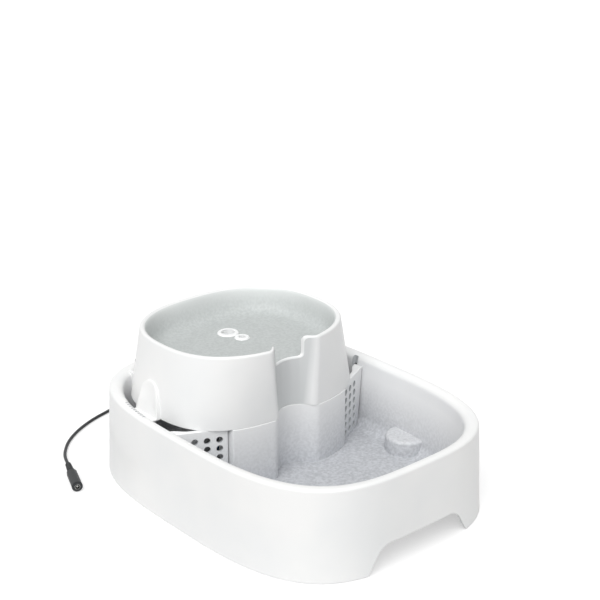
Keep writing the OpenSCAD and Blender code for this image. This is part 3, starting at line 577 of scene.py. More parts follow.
def smooth_route(points, parts):
    """The points joined by one smooth curve between two straight ends."""
    points = [Vector(p) for p in points]
    inner = [
        curve_point(*points[i - 1 : i + 3], j / parts)
        for i in range(1, len(points) - 2)
        for j in range(parts)
    ]
    return [points[0], *inner, *points[-2:]]


def coil_line():
    """The coil's line: in and out again in two layers, with the climb where it turns back."""
    line = []
    for i in range(int(COIL_TURNS * COIL_STEPS) + 1):
        turn = i / COIL_STEPS
        radius = COIL_OUT - COIL_PITCH * min(turn, COIL_TURNS - turn)
        climb = max(0, min(1, 2 * (turn - COIL_TURNS / 2) + 0.5))
        angle = 2 * math.pi * turn - math.pi / 2
        place = (radius * math.cos(angle), radius * math.sin(angle), COIL_PITCH * climb)
        line.append(COIL_AT + Vector(place))
    return line


coil_start = COIL_AT + Vector((-LEAD_D - 0.4, -COIL_OUT, 0))
coil_end = COIL_AT + Vector((-LEAD_D - 0.4, COIL_OUT, COIL_PITCH))
straight = Vector((4, 0, 0))
lead_path = (
    smooth_route([*LEAD_IN, coil_start - straight, coil_start], 4)
    + coil_line()
    + smooth_route([coil_end, coil_end - straight, *LEAD_OUT, SOCKET_AT - 6 * SOCKET_HEAD, SOCKET_AT], 4)
)


def swept(path, radius, sides):
    """Round tube along a path, its rings carried along without twist."""
    sections = []
    side = Vector((0.3, 0.2, 1))
    for i, point in enumerate(path):
        ahead = (path[min(i + 1, len(path) - 1)] - path[max(i - 1, 0)]).normalized()
        side = (side - side.dot(ahead) * ahead).normalized()
        other = ahead.cross(side)
        sections.append(
            [point + radius * (math.cos(a) * side + math.sin(a) * other) for a in full_turn(sides)]
        )
    return loft(sections)


lead = as_object("lead", swept(lead_path, LEAD_D / 2, 12), [pvc_black], smooth_deg=60, even=False)
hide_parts("pump_lead", "lead_coil", "lead_end")
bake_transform(lead)


# ---- tub

_, tub_high = corners("base_tub")
BASE_HEIGHT = tub_high.z
BASE_HALF = Vector((tub_high.x, tub_high.y))
BASE_FLARE = 4
BASE_SQUARENESS = 3.3
RIM_HALF = BASE_HALF - Vector((BASE_FLARE, BASE_FLARE))
RIM_WIDTH = 12.5
INNER_HALF = RIM_HALF - Vector((RIM_WIDTH, RIM_WIDTH))
INNER_SQUARENESS = BASE_SQUARENESS - 0.1
INNER_LEAN = 10
RIM_OUTER_R = 3
RIM_INNER_R = 8
FLOOR_Z = 19.5
FLOOR_R = 12
BAY_FLOOR_Z = 29.5
BAY_TOP_Z = 99
WALL = 3
ARCH_HALF = 68
ARCH_HEIGHT = 28
ARCH_R = 20
ARCH_CENTRE = Vector((40, ARCH_HEIGHT - ARCH_R))
ARCH_SHOULDER = Vector((57.2, 18.2))
ABOVE_ARCH_Z = 34


def arch_edge(x, y):
    """Height of the tub's lower edge: the foot arches at both ends, and the floor beside them."""
    reach = abs(x)
    if abs(y) < BASE_HALF.y / 2 or reach >= ARCH_HALF:
        return 0.0
    if reach <= ARCH_CENTRE.x:
        return float(ARCH_HEIGHT)
    if reach <= ARCH_SHOULDER.x:
        return ARCH_CENTRE.y + math.sqrt(ARCH_R**2 - (reach - ARCH_CENTRE.x) ** 2)
    return ARCH_SHOULDER.y * (ARCH_HALF - reach) / (ARCH_HALF - ARCH_SHOULDER.x)


def tub_columns():
    """Angles at which the tub's rings have points: close together in the corners and at the arches."""
    arch_stops = [12, 24, 34, 40, 44, 47.5, 50.5, 53.2, 55.4, 57.2, 59.4, 61.6, 63.8, 66, 68, 70, 75]
    quarter = [math.acos((x / BASE_HALF.x) ** (BASE_SQUARENESS / 2)) for x in arch_stops]
    corner_end = quarter[-1]
    corner_steps = 34
    quarter += [corner_end * i / corner_steps for i in range(1, corner_steps)]
    turn = math.pi
    angles = {0.0, turn / 2, turn, 1.5 * turn}
    for a in quarter:
        angles |= {a, turn - a, turn + a, 2 * turn - a}
    return sorted(angles)


COLUMNS = tub_columns()


def oval(half, squareness, z, centre_y=0.0):
    """Level ring of the given half sizes, one point for each column."""
    return [
        Vector(
            (
                half.x * power(math.cos(a), 2 / squareness),
                centre_y + half.y * power(math.sin(a), 2 / squareness),
                z,
            )
        )
        for a in COLUMNS
    ]


def less(half, inset):
    """Half sizes, drawn in by an inset."""
    return half - Vector((inset, inset))


def outer_ring(z, inset=0.0, at=None):
    """Ring of the tub's outer wall, drawn in, with the wall's size at its own or another height."""
    flare = (1 - (z if at is None else at) / BASE_HEIGHT) * BASE_FLARE
    return oval(less(less(RIM_HALF, -flare), inset), BASE_SQUARENESS, z)


def inner_ring(z, inset):
    """Ring of the basin's inner face, drawn in from the rim's inner edge."""
    return oval(less(INNER_HALF, inset), INNER_SQUARENESS, z)


def inner_inset(z):
    """How far the leaning wall has come in at a height."""
    return INNER_LEAN * (BASE_HEIGHT - RIM_INNER_R - z) / (BASE_HEIGHT - RIM_INNER_R - FLOOR_Z)


def foot_ring(rise, inset, share=0.0):
    """Ring near the lower edge, which follows the arches; share runs to a level ring above them."""
    ring = []
    for p in oval(less(BASE_HALF, inset), BASE_SQUARENESS, 0):
        edge = arch_edge(p.x, p.y) + rise
        z = edge + (ABOVE_ARCH_Z - edge) * share
        scale = 1 - BASE_FLARE * z / BASE_HEIGHT / BASE_HALF.x
        ring.append(Vector((p.x * scale, p.y * scale, z)))
    return ring


def basin_sections(grow=0.0, count=7):
    """The basin's inner face in three parts: rolled rim, leaning wall and floor radius."""
    rim = [
        inner_ring(BASE_HEIGHT - drop, -out - grow) for out, drop in reversed(rounding(RIM_INNER_R, count))
    ]
    wall = [inner_ring(z, inner_inset(z) - grow) for z in (72, 55, 42)]
    fillet = [
        inner_ring(FLOOR_Z + rise - grow, inner_inset(FLOOR_Z + rise) + inset - grow)
        for rise, inset in reversed(rounding(FLOOR_R, count))
    ]
    return rim, wall, fillet


def tub_shell():
    """The whole moulding: underside, outer wall, rolled rim and basin."""
    rim, wall, fillet = basin_sections()
    outer_top = BASE_HEIGHT - RIM_OUTER_R
    sections = basin_sections(WALL, 4)[2][::-1]
    sections += [inner_ring(z, inner_inset(z) - WALL) for z in (36, 60, 84)]
    sections += [outer_ring(z, WALL + inset) for z, inset in ((90, 4.5), (90, 2.5), (83, 0))]
    # round the lower edge: rise over it, inset and share, down the inner face and up the outer one
    foot = [
        (0.8, WALL, 1.0), (0.8, WALL, 0.4), (0.8, WALL), (0.25, WALL - 0.25), (0, WALL - 0.8),
        (0, 0.8), (0.25, 0.25), (0.8, 0), (0.8, 0, 0.4), (0.8, 0, 1.0),
    ]
    sections += [foot_ring(*stage) for stage in foot]
    sections += [outer_ring(z) for z in (50, 66, 82, outer_top)]
    sections += [
        outer_ring(BASE_HEIGHT - drop, inset, BASE_HEIGHT) for inset, drop in rounding(RIM_OUTER_R, 5)[1:]
    ]
    smooth_count = len(sections) + len(rim)
    sections += rim + wall + fillet
    return loft(sections, [0] * (smooth_count - 3) + [1] * (len(sections) - smooth_count + 2))


def wall_x(y):
    """Distance of the tub's inner wall from the middle, at the rim's rounding."""
    return INNER_HALF.x * (1 - (abs(y) / INNER_HALF.y) ** INNER_SQUARENESS) ** (1 / INNER_SQUARENESS)


def wall_band(y0, y1, reach_in, reach_out, z0, z1):
    """Box that follows the tub's side wall between two places."""
    bm = block((0, y0, z0), (1, y1, z1))
    for v in bm.verts:
        y = v.co.y / MM
        v.co.x = (wall_x(y) + (reach_out if v.co.x > 0.5 * MM else -reach_in)) * MM
    return bm


GRIP_Y = 84.5
GRIP_LENGTH = 44
GRIP_PITCH = 4.9
GRIP_COUNT = 9
GROOVES_Y = GRIP_Y + 1.5
GROOVE_WIDTH = 2.1
GROOVE_DEPTH = 2.3
GUIDE_Y = 41.5


def grip_groove(y):
    """Cutter of one groove over the rim's inner rounding."""
    axis = Vector((wall_x(y) + RIM_INNER_R, y, BASE_HEIGHT - RIM_INNER_R))
    deep, out = RIM_INNER_R - GROOVE_DEPTH, RIM_INNER_R + 3
    profile = [(deep, -0.3), (deep + 0.35, -0.5), (out, -0.5), (out, 0.5), (deep + 0.35, 0.5), (deep, 0.3)]
    sections = []
    for a in (math.radians(172 - 6.5 * i) for i in range(13)):
        sections.append(
            [axis + Vector((r * math.cos(a), w * GROOVE_WIDTH, r * math.sin(a))) for r, w in profile]
        )
    return loft(sections)


def tub_cutters():
    """The slot for the bowl's lip with its finger grooves, and the strainer's guide groove."""
    half = GRIP_LENGTH / 2
    parts = [wall_band(GRIP_Y - half, GRIP_Y + half, 3, WALL - 0.6, LEDGE_Z - 2, LEDGE_Z + 2.5)]
    for i in range(GRIP_COUNT):
        parts.append(grip_groove(GROOVES_Y + (i - (GRIP_COUNT - 1) / 2) * GRIP_PITCH))
    guide = wall_band(GUIDE_Y - 4, GUIDE_Y + 4, 3, 3, LEDGE_Z - 4, LEDGE_Z + 16)
    outer = both_ends(guide.edges, lambda p: p.x > wall_x(GUIDE_Y))
    standing = [e for e in outer if abs(e.verts[0].co.z - e.verts[1].co.z) > 5 * MM]
    parts.append(round_edges(guide, standing, 2.4, 4))
    # the cut faces take the tub's third material, the painted groove shade
    return tinted(both_sides(merged(*parts)), 2)


DIVIDER_HALF = 78
DIVIDER_BACK = 21.5
SIDE_SLOPE = 0.5045


def bay_floor(inset, low, high):
    """Slab under the pump bay and the side chambers, to just inside the tub's wall."""
    front = DIVIDER_BACK + inset
    rows = []
    for z in (low, high):
        row = inner_ring(z, INNER_LEAN - 1.5 + inset)
        for p in row:
            p.y = max(p.y, front + max(0, abs(p.x) - DIVIDER_HALF - 2) * SIDE_SLOPE)
        rows.append(row)
    return loft(rows)


def round_boss(at, radius, low, high, edge, taper=0.0):
    """Low round boss with a rounded upper edge."""
    bm = cylinder(at, radius, low, high, taper=taper)
    return round_edges(bm, both_ends(bm.edges, lambda p: p.z > high - 0.1), edge, 5)


LEVEL_STEP_AT = Vector((INNER_HALF.x - INNER_LEAN - 1, -53))
LEVEL_STEP_R = 23
LEVEL_STEP_Z = 36.5


def level_step():
    """Half-round step against the side wall, with three plain bars on top where the full mark is."""
    bm = round_boss(LEVEL_STEP_AT, LEVEL_STEP_R, FLOOR_Z - 1, LEVEL_STEP_Z, 3.2, taper=1.0)
    whole = bm.verts[:] + bm.edges[:] + bm.faces[:]
    wall = Vector((LEVEL_STEP_AT.x + 4, 0, 0)) * MM
    cut = bmesh.ops.bisect_plane(bm, geom=whole, plane_co=wall, plane_no=(1, 0, 0), clear_outer=True)
    cut_edges = [g for g in cut["geom_cut"] if isinstance(g, bmesh.types.BMEdge)]
    bmesh.ops.contextual_create(bm, geom=cut_edges)
    x, y, z = *LEVEL_STEP_AT, LEVEL_STEP_Z
    bars = [
        block((x - 14, y + aside - 0.8, z - 0.5), (x - 7, y + aside + 0.8, z + 0.5), 0.3, 2)
        for aside in (-7, 0, 7)
    ]
    return combined(closed_up(bm), merged(*bars), "UNION")


BAY_PAD_AT = Vector((36.5, 149.5))
BAY_PAD_R = 14


def make_tub():
    """The moulding with its raised bay floor, step and pad, and the slots and grooves cut in."""
    bm = tub_shell()
    pad = round_boss(BAY_PAD_AT, BAY_PAD_R, BAY_FLOOR_Z - 1, BAY_FLOOR_Z + 3.5, 2.2)
    for part in (bay_floor(0, FLOOR_Z - 2, BAY_FLOOR_Z), level_step(), pad):
        bm = combined(bm, tinted(part, 1), "UNION")
    for cutter in (tub_cutters(), bay_floor(WALL + 2, 8, BAY_FLOOR_Z - WALL)):
        bm = combined(bm, cutter, "DIFFERENCE")
    return bm


placed("tub", make_tub(), [abs_white, abs_basin, abs_painted_groove_shade], "tub", "white_abs", "base_tub")


# ---- bowl

BOWL_Y = 78.4
SKIRT_HALF = Vector((118.5, 93))
SKIRT_SQUARENESS = 2.8
BOWL_RIM_HALF = SKIRT_HALF - Vector((11.2, 1.2))
BOWL_RIM_SQUARENESS = 2.45
BOWL_LOW_Z = LEDGE_Z + 0.1
DISH_Z = 136
SPILL_Z = 141.5
SPILL_R = 25.5
SPILL_Y = 5.2 - SPILL_R
SPILL_BACK = SPILL_Y + SPILL_R
SPILL_LOW_R = 23.5
SPILL_RIM_R = 33
SPILL_HALF = 20
NOTCH_R = 5
CORNER_R = 5.5
BEAD_DROP = 3.8


def up_bowl(low, high, z):
    """What changes evenly from the bowl's lower edge to its rim."""
    return low + (high - low) * ((z - LEDGE_Z) / (BOWL_TOP_Z - LEDGE_Z))


def spill_radius(z):
    """Radius of the recess in the bowl's front, which opens out towards the rim."""
    return up_bowl(SPILL_LOW_R, SPILL_RIM_R, z)


def notch_profile():
    """Half of the notch's edge from the middle outwards: distance from the middle, height."""
    side = SPILL_HALF - 0.5
    arc = rounding(NOTCH_R, 6)
    points = [(0, SPILL_Z), (4, SPILL_Z), (8, SPILL_Z), (side - NOTCH_R, SPILL_Z)]
    points += [(side - left, SPILL_Z + rise) for rise, left in arc[1:]]
    points += [(side + 0.17, 151), (side + 0.34, 155)]
    return points + [(SPILL_HALF + out, BOWL_TOP_Z - drop) for out, drop in arc]


def bowl_columns():
    """Directions from the bowl's middle, measured from its front, each with its edge's height."""
    half = []
    recess_r = spill_radius(150)
    for x, z in notch_profile():
        drop = BOWL_Y - (SPILL_BACK - recess_r + math.sqrt(recess_r**2 - x**2))
        half.append((math.atan2(x, drop), z))
    last, fillet_end = half[-1][0], math.radians(27)
    for start, end, steps in ((last, fillet_end, 15), (fillet_end, math.pi, 56)):
        half += [(start + (end - start) * i / steps, BOWL_TOP_Z) for i in range(1, steps + 1)]
    return [(-a, z) for a, z in reversed(half[1:-1])] + half


BOWL_COLUMNS = bowl_columns()


def plan_radius(angle, half, squareness, spill_r, grow, corner_r):
    """Distance from the bowl's middle to its rounded outline around the spillway recess."""
    across, along = abs(math.sin(angle)) / half.x, abs(math.cos(angle)) / half.y
    skirt = (across**squareness + along**squareness) ** (-1 / squareness)
    recess_drop = BOWL_Y - SPILL_BACK + spill_r
    recess_r = spill_r + grow

    def outside(r):
        to_skirt = r - skirt
        to_recess = recess_r - math.hypot(r * math.sin(angle), recess_drop - r * math.cos(angle))
        u, v = max(corner_r + to_skirt, 0), max(corner_r + to_recess, 0)
        return min(-corner_r, max(to_skirt, to_recess)) + math.hypot(u, v)

    if outside(skirt) <= 1e-6:
        return skirt
    low, high = 20.0, skirt
    for _ in range(34):
        middle = (low + high) / 2
        low, high = (low, middle) if outside(middle) > 0 else (middle, high)
    return low


def bowl_half(z):
    """Half sizes of the skirt's outline at a height."""
    return up_bowl(SKIRT_HALF, BOWL_RIM_HALF, z)


def bowl_squareness(z):
    """How square the skirt's outline is at a height."""
    return up_bowl(SKIRT_SQUARENESS, BOWL_RIM_SQUARENESS, z)


def bowl_ring(height, inset, recess_grow=0.0, shape_z=None, draw_in=0.0):
    """Ring of the bowl, level or at a height worked out from each column's edge height."""
    ring = []
    corner_r = max(3.0, CORNER_R - recess_grow)
    for angle, top in BOWL_COLUMNS:
        z = height(top) if callable(height) else height
        at = z if shape_z is None else shape_z
        half = less(bowl_half(at), inset)
        r = plan_radius(angle, half, bowl_squareness(at), spill_radius(at), recess_grow, corner_r) - draw_in
        ring.append(Vector((r * math.sin(angle), BOWL_Y - r * math.cos(angle), z)))
    return ring


def dish_underside():
    """Rings under the dish, from its middle outwards, and down the inside of the skirt."""
    hollow_top = 152.0
    floor_low = DISH_Z - WALL
    sections = []
    rings = [
        (floor_low, 27, 3.2), (DISH_Z - 1.8, 20, 2.4), (137.2, 14.5, 1.8), (141, 9.9, 1.2), (147, 7.8, 0.6),
        (hollow_top, WALL + 1.6, 0.3), (hollow_top - 2.5, WALL, 0.0),
    ]
    for z, inset, draw_in in rings:
        ring = bowl_ring(z, inset, WALL, draw_in=draw_in)
        for point, (angle, _) in zip(ring, BOWL_COLUMNS):
            # the hollow stays low behind the recess, within 17 degrees of the front
            share = min(1.0, max(0.0, (abs(math.degrees(angle)) - 17) / 7))
            point.z = floor_low + (z - floor_low) * share
        sections.append(ring)
    sections += [bowl_ring(z, WALL, WALL) for z in (125, 110, 98, BOWL_LOW_Z + 0.6)]
    return [*sections, bowl_ring(BOWL_LOW_Z, WALL - 0.6, WALL - 0.6)]


def bowl_shell():
    """Skirt, recess, notch, rim, dish and the hollow underneath, as one skin."""
    sections = dish_underside()
    for rise, inset in ((0.0, 0.6), (0.18, 0.18), (0.6, 0.0)):
        sections.append(bowl_ring(BOWL_LOW_Z + rise, inset, inset))
    skin_from = len(sections)
    steps = 9
    for share in (i / steps for i in range(1, steps + 1)):
        sections.append(bowl_ring(lambda top, s=share: BOWL_LOW_Z + 0.6 + (top - 2.8 - BOWL_LOW_Z) * s, 0.0))
    # rim bead: drop below the edge, inset of the skirt, growth of the recess
    bead = [
        (1.3, 0.14, 0.12), (0.65, 0.55, 0.45), (0.2, 1.15, 0.85), (0.0, 1.9, 1.3), (0.05, 2.8, 1.7),
        (0.4, 3.9, 2.2), (1.1, 5.0, 2.6), (2.2, 6.0, 2.85), (BEAD_DROP, 6.9, WALL),
    ]
    for drop, inset, grow in bead:
        sections.append(bowl_ring(lambda top, d=drop: top - d, inset, grow))
    inner_from = len(sections) - 2
    # dish: height under a full edge, inset of the skirt
    dish = [
        (157, 8.1), (153, 9.4), (149, 10.7), (145, 12.2), (141.5, 14.2), (139.3, 16.6), (137.7, 19.4),
        (136.7, 22.4), (136.15, 26), (DISH_Z, 30),
    ]
    for z, inset in dish:
        share = (z - DISH_Z) / (BOWL_TOP_Z - BEAD_DROP - DISH_Z)
        sections.append(
            bowl_ring(lambda top, s=share: DISH_Z + s * (top - BEAD_DROP - DISH_Z), inset, WALL, shape_z=z)
        )
    # the skirt's outer face takes the white with painted recess shade, and the dish side the white with
    # painted shade
    finishes = [0] * (skin_from - 1) + [2] * steps + [0] * (inner_from - skin_from - steps)
    return loft(sections, finishes + [1] * (len(sections) - inner_from))


TAB_WIDTH = 38
TAB_HEIGHT = 36
TAB_R = 14
TAB_LIP = 1.8
TAB_STEPS = 28


def skirt_x(y, z):
    """Outer face of the skirt's side at a place."""
    half, n = bowl_half(z), bowl_squareness(z)
    return half.x * (1 - (abs(y - BOWL_Y) / half.y) ** n) ** (1 / n)


def finger_tab():
    """Leaning panel with a thumb hollow, over the lip that slips into the tub's slot."""
    centre = Vector((GRIP_Y + 2, BOWL_LOW_Z + TAB_HEIGHT - TAB_R))
    foot_z = BOWL_LOW_Z + TAB_LIP - 0.5
    front_y, back_y = GRIP_Y - TAB_WIDTH / 2, GRIP_Y + TAB_WIDTH / 2
    arc = [math.radians(166 - 152 * i / TAB_STEPS) for i in range(TAB_STEPS + 1)]
    outline = [Vector((front_y, foot_z)), Vector((front_y + 1.4, foot_z + 6))]
    outline += [around(centre, TAB_R, a) for a in arc]
    outline += [Vector((back_y - 0.9, foot_z + 6)), Vector((back_y, foot_z))]
    middle = Vector((GRIP_Y + 1.2, (foot_z + BOWL_LOW_Z + TAB_HEIGHT) / 2 - 1))
    low_x, high_x = wall_x(GRIP_Y) - 1.4 - 5.6, SKIRT_HALF.x - 3.6

    def ring(scale, sink):
        """The outline drawn in by a scale, sunk into the leaning face."""
        points = []
        for p in outline:
            q = middle + (p - middle) * scale
            share = (q.y - foot_z) / (TAB_HEIGHT - TAB_LIP)
            points.append(Vector((low_x + (high_x - low_x) * share - sink, q.x, q.y)))
        return points

    face = [
        (1.0, 0.8), (0.99, 0.3), (0.97, 0.06), (0.945, 0.0), (0.86, 0.0), (0.82, 0.06), (0.72, 0.3),
        (0.56, 0.7), (0.4, 0.95), (0.2, 1.1),
    ]
    back = [Vector((skirt_x(p.x, p.y) - 1.6, p.x, p.y)) for p in outline]
    lip = wall_band(front_y, back_y, 14.5, -1.4, BOWL_LOW_Z, BOWL_LOW_Z + TAB_LIP)
    round_edges(lip, lip.edges[:], 0.5, 3)
    return loft([back] + [ring(*stage) for stage in face]), lip


OUTLET_AT = Vector((7, 110.5))
RETURN_AT = Vector((10.3, 90))
RISER_D = 14.6
RETURN_D = 7.4
COLLAR_WALL = 1.8


def make_bowl():
    """The shell with its two finger tabs, and the holes for the collars."""
    bm = bowl_shell()
    for part in finger_tab():
        bm = combined(bm, both_sides(part), "UNION")
    holes = [
        cylinder(at, width / 2 + COLLAR_WALL + 0.2, DISH_Z - 8, DISH_Z + 6)
        for at, width in ((OUTLET_AT, RISER_D), (RETURN_AT, RETURN_D))
    ]
    return combined(bm, merged(*holes), "DIFFERENCE")


placed("bowl", make_bowl(), [abs_white, abs_dish, abs_skirt], "bowl", "white_abs", "top_bowl")


# ---- divider

LEDGE_LIP = 0.4
BLOCK_ROOM = WALL + 0.4
BLOCK_INNER = 8.3
BLOCK_OUTER = 70.5
BLOCK_HOLLOW_AT = Vector((66.5, -3))
BLOCK_HOLLOW_R = 4.2


def divider_outline():
    """The divider in plan: its front follows the bowl's, and its back is straight."""
    front = []
    spread_deg, step_deg = 60, 0.8
    for i in range(151):
        a = math.radians(-spread_deg + step_deg * i)
        r = plan_radius(a, less(SKIRT_HALF, -LEDGE_LIP), SKIRT_SQUARENESS, SPILL_R, -LEDGE_LIP, 7.5)
        point = Vector((r * math.sin(a), BOWL_Y - r * math.cos(a)))
        if abs(point.x) < DIVIDER_HALF - 3.5:
            front.append((point.x, point.y, 0))
    end_y = front[-1][1] + 3.5 * (front[-1][1] - front[-3][1]) / (front[-1][0] - front[-3][0])
    ends = [
        (DIVIDER_HALF, end_y, 2.5), (DIVIDER_HALF, DIVIDER_BACK, 1.5),
        (-DIVIDER_HALF, DIVIDER_BACK, 1.5), (-DIVIDER_HALF, end_y, 2.5),
    ]
    return filleted(front + ends)


def block_front(x):
    """Front edge of a locating block in plan, just behind the bowl's skirt and recess."""
    half = less(SKIRT_HALF, BLOCK_ROOM)
    behind_skirt = BOWL_Y - half.y * (1 - (x / half.x) ** SKIRT_SQUARENESS) ** (1 / SKIRT_SQUARENESS)
    recess_r = SPILL_R + BLOCK_ROOM
    behind_recess = SPILL_Y + math.sqrt(max(0.0, recess_r**2 - x**2)) if x < recess_r else SPILL_Y
    apart = behind_skirt - behind_recess
    return (behind_skirt + behind_recess + math.sqrt(apart**2 + 9)) / 2


def locating_block():
    """Block on the ledge that keeps the bowl in place, rounded all over and cut back outside."""
    end_r, slope_r, edge_r, back_r = 3.2, 6.5, 3.0, 1.6
    inner, outer, count = BLOCK_INNER + slope_r, BLOCK_OUTER - end_r, 34
    # distance from the middle, drawing in at front and back, drop of the top
    stations = [
        (BLOCK_INNER + along, narrow, drop)
        for (along, drop), (_, narrow) in zip(rounding(slope_r, 6)[:-1], rounding(end_r, 6))
    ]
    stations += [(inner + (outer - inner) * i / count, 0.0, 0.0) for i in range(count + 1)]
    stations += [(BLOCK_OUTER - along, narrow, narrow) for along, narrow in rounding(end_r, 5)[-2::-1]]
    sections = []
    for x, narrow, drop in stations:
        front, back = block_front(x) + narrow, DIVIDER_BACK - narrow
        top, foot = BAY_TOP_Z - drop, LEDGE_Z - 0.6
        ring = [(front - 0.25, foot), (front - 0.2, foot + 3)]
        ring += [(front + inset, top - fall) for inset, fall in rounding(edge_r, 5)]
        ring += [(back - inset, top - fall) for fall, inset in rounding(back_r, 4)]
        sections.append([Vector((x, y, z)) for y, z in [*ring, (back, foot)]])
    hollow = cylinder(BLOCK_HOLLOW_AT, BLOCK_HOLLOW_R, LEDGE_Z - 2, BAY_TOP_Z - 2.5, 48)
    return combined(loft(sections), hollow, "DIFFERENCE")


def make_divider():
    """The wall between basin and bay, with its two blocks."""
    bm = prism(divider_outline(), FLOOR_Z, LEDGE_Z, 0, 0.8)
    return combined(bm, both_sides(locating_block()), "UNION")


placed("divider", make_divider(), [abs_divider], "tub", "white_abs", "front_divider")


# ---- bay walls and strainers

BAY_HALF = 79
BAY_WALL = 4.4
BAY_WALL_OUT = BAY_HALF + BAY_WALL
HOLDER_Y = 59.3
SLOT_FRONT = HOLDER_Y - 0.5
SLOT_BACK = SLOT_FRONT + 14.6
SLOT_MOUTH = 52.4
SLOT_END = 59.9
WEB_AT = Vector((BAY_WALL_OUT + 12, 117))
WEB_R = 12
WEB_THICK = 2.0


def bay_wall_outline():
    """The right bay wall in plan: slotted block, long wall and the hooked web outside it."""
    back_r = WEB_R + WEB_THICK
    meet_y = WEB_AT.y + math.sqrt(back_r**2 - WEB_R**2)
    far_y = INNER_HALF.y
    turns = [
        (BAY_HALF, far_y, 0), (BAY_HALF, SLOT_BACK + 3, 4),
        (SLOT_MOUTH, SLOT_BACK + 3, 1), (SLOT_MOUTH, SLOT_BACK, 0.8),
        (SLOT_END, SLOT_BACK, 1), (SLOT_END, SLOT_FRONT, 1),
        (SLOT_MOUTH, SLOT_FRONT, 0.6), (SLOT_MOUTH, SLOT_FRONT - 2, 0.8),
        (BAY_WALL_OUT, SLOT_FRONT - 2, 10),
    ]
    turns += [(*around(WEB_AT, WEB_R, math.radians(180 - 10 * i)), 0) for i in range(19)]
    turns.append((WEB_AT.x + WEB_R + WEB_THICK / 2, WEB_AT.y - 0.8, 0))
    turns += [(*around(WEB_AT, back_r, math.radians(10.5 * i)), 0) for i in range(14)]
    turns += [(BAY_WALL_OUT, meet_y + 4, 0), (BAY_WALL_OUT, far_y, 0)]
    return filleted(turns)


def water_space(grow):
    """Closed form of the tub's inside."""
    rim, wall, fillet = basin_sections(grow, 5)
    return loft([[p + Vector((0, 0, 8)) for p in rim[0]]] + rim + wall + fillet)


def bowl_footprint(inset, low, high):
    """The skirt's outline without the recess, drawn in and raised between two heights."""
    return loft([oval(less(SKIRT_HALF, inset), SKIRT_SQUARENESS, z, BOWL_Y) for z in (low, high)])


def make_bay_wall():
    """Bay wall with the gap that the bowl's skirt stands in, and its lower tongue behind that."""
    bm = prism(bay_wall_outline(), BAY_FLOOR_Z, BAY_TOP_Z, 0, 0.7)
    skirt_gap = combined(bowl_footprint(-0.8, LEDGE_Z, 120), bowl_footprint(WALL + 2, 80, 125), "DIFFERENCE")
    bm = combined(bm, skirt_gap, "DIFFERENCE")
    behind = combined(
        block((60, BOWL_Y, BAY_TOP_Z - 3), (140, 210, 120)), bowl_footprint(0, 80, 125), "DIFFERENCE"
    )
    bm = combined(bm, behind, "DIFFERENCE")
    bm = combined(bm, water_space(-0.05), "INTERSECT")
    # the slot's inner sides take the second material, the painted groove shade
    for face in bm.faces:
        middle = face.calc_center_median() / MM
        in_slot = SLOT_MOUTH < middle.x < SLOT_END + 0.5 and SLOT_FRONT - 0.5 < middle.y < SLOT_BACK + 0.5
        face.material_index = int(in_slot and abs(face.normal.z) < 0.5)
    return bm


STRAINER_AT = Vector((DIVIDER_HALF + 0.5, 1.5, 0))
STRAINER_TURN = math.radians(26.5)
STRAINER_GAP = 2
STRAINER_ROOM = 0.9
HOLE_R = 3.5
HOLE_ACROSS = [STRAINER_GAP + 8.5 + 12.9 * i for i in range(3)]
HOLE_HEIGHTS = [LEDGE_Z - 11 - 9.8 * j for j in range(6)]


def strainer_reach(z, foot=0.0):
    """Length of the strainer at a height, from the divider to the tub's wall."""
    wall_reach = INNER_HALF.x - inner_inset(z) - foot - STRAINER_ROOM
    return (wall_reach - STRAINER_AT.x) / math.cos(STRAINER_TURN)


def make_strainer():
    """Perforated plate beside the divider, with a shelf on top whose back edge is a hollow curve."""
    low, end = FLOOR_Z + 0.2, strainer_reach(LEDGE_Z)
    turns = [(STRAINER_GAP, low, 3)]
    turns += [(strainer_reach(FLOOR_Z, left), low + rise, 0) for rise, left in rounding(FLOOR_R, 5)]
    turns += [(end, LEDGE_Z, 0), (STRAINER_GAP, LEDGE_Z, 0)]
    plate = upright(prism(filleted(turns), 0, WALL, 0.4, 0.4, 2), WALL)
    holes = [
        upright(cylinder((x, z), HOLE_R, -1, WALL + 1, 28), WALL) for x in HOLE_ACROSS for z in HOLE_HEIGHTS
    ]
    # the holes' walls take the second material, the painted groove shade
    plate = combined(plate, tinted(merged(*holes), 1), "DIFFERENCE")
    # the holes' rims on the front face, and not the plate's own far end
    rim = both_ends(sharp_edges(plate, 50), lambda p: abs(p.y) < 1e-3 and p.x < 45)
    round_edges(plate, rim, 0.35, 2)
    shelf_turns = [
        (STRAINER_GAP, 0, 0.8), (end, 0, 0), (end + 4.6, 10.5, 0), (end - 5, 10.3, 5), (end - 17, 5.8, 12),
        (24, 5.4, 12), (13.5, 9, 4), (4.5, 8.8, 3), (STRAINER_GAP, 6, 1.5),
    ]
    shelf = prism(filleted(shelf_turns), LEDGE_Z - WALL, LEDGE_Z, 0.3, 0.7)
    bm = combined(plate, shelf, "UNION")
    bmesh.ops.rotate(bm, cent=(0, 0, 0), matrix=Matrix.Rotation(STRAINER_TURN, 3, "Z"), verts=bm.verts)
    bmesh.ops.translate(bm, vec=STRAINER_AT * MM, verts=bm.verts)
    return bm


for name, right in (("bay_wall", make_bay_wall()), ("strainer", make_strainer())):
    for side, bm in (("left", flipped(right)), ("right", right)):
        placed(f"{name}_{side}", bm, [abs_divider, abs_painted_groove_shade], "tub", "white_abs", f"{side}_{name}")


# ---- tubes and collars

for node, name, body, width in (
    ("inlet_collar", "riser_collar", "bowl", 0.4),
    ("return_collar", "drain_collar", "bowl", 0.35),
    ("return_tube", "drain_tube", "pump", 0.3),
    ("return_foot", "drain_foot", "pump", 0.5),
    ("pump_outlet", "outlet_stub", "pump", 0.3),
):
    placed(name, softened(node, width), [pp_grey], body, "grey_pp", node)


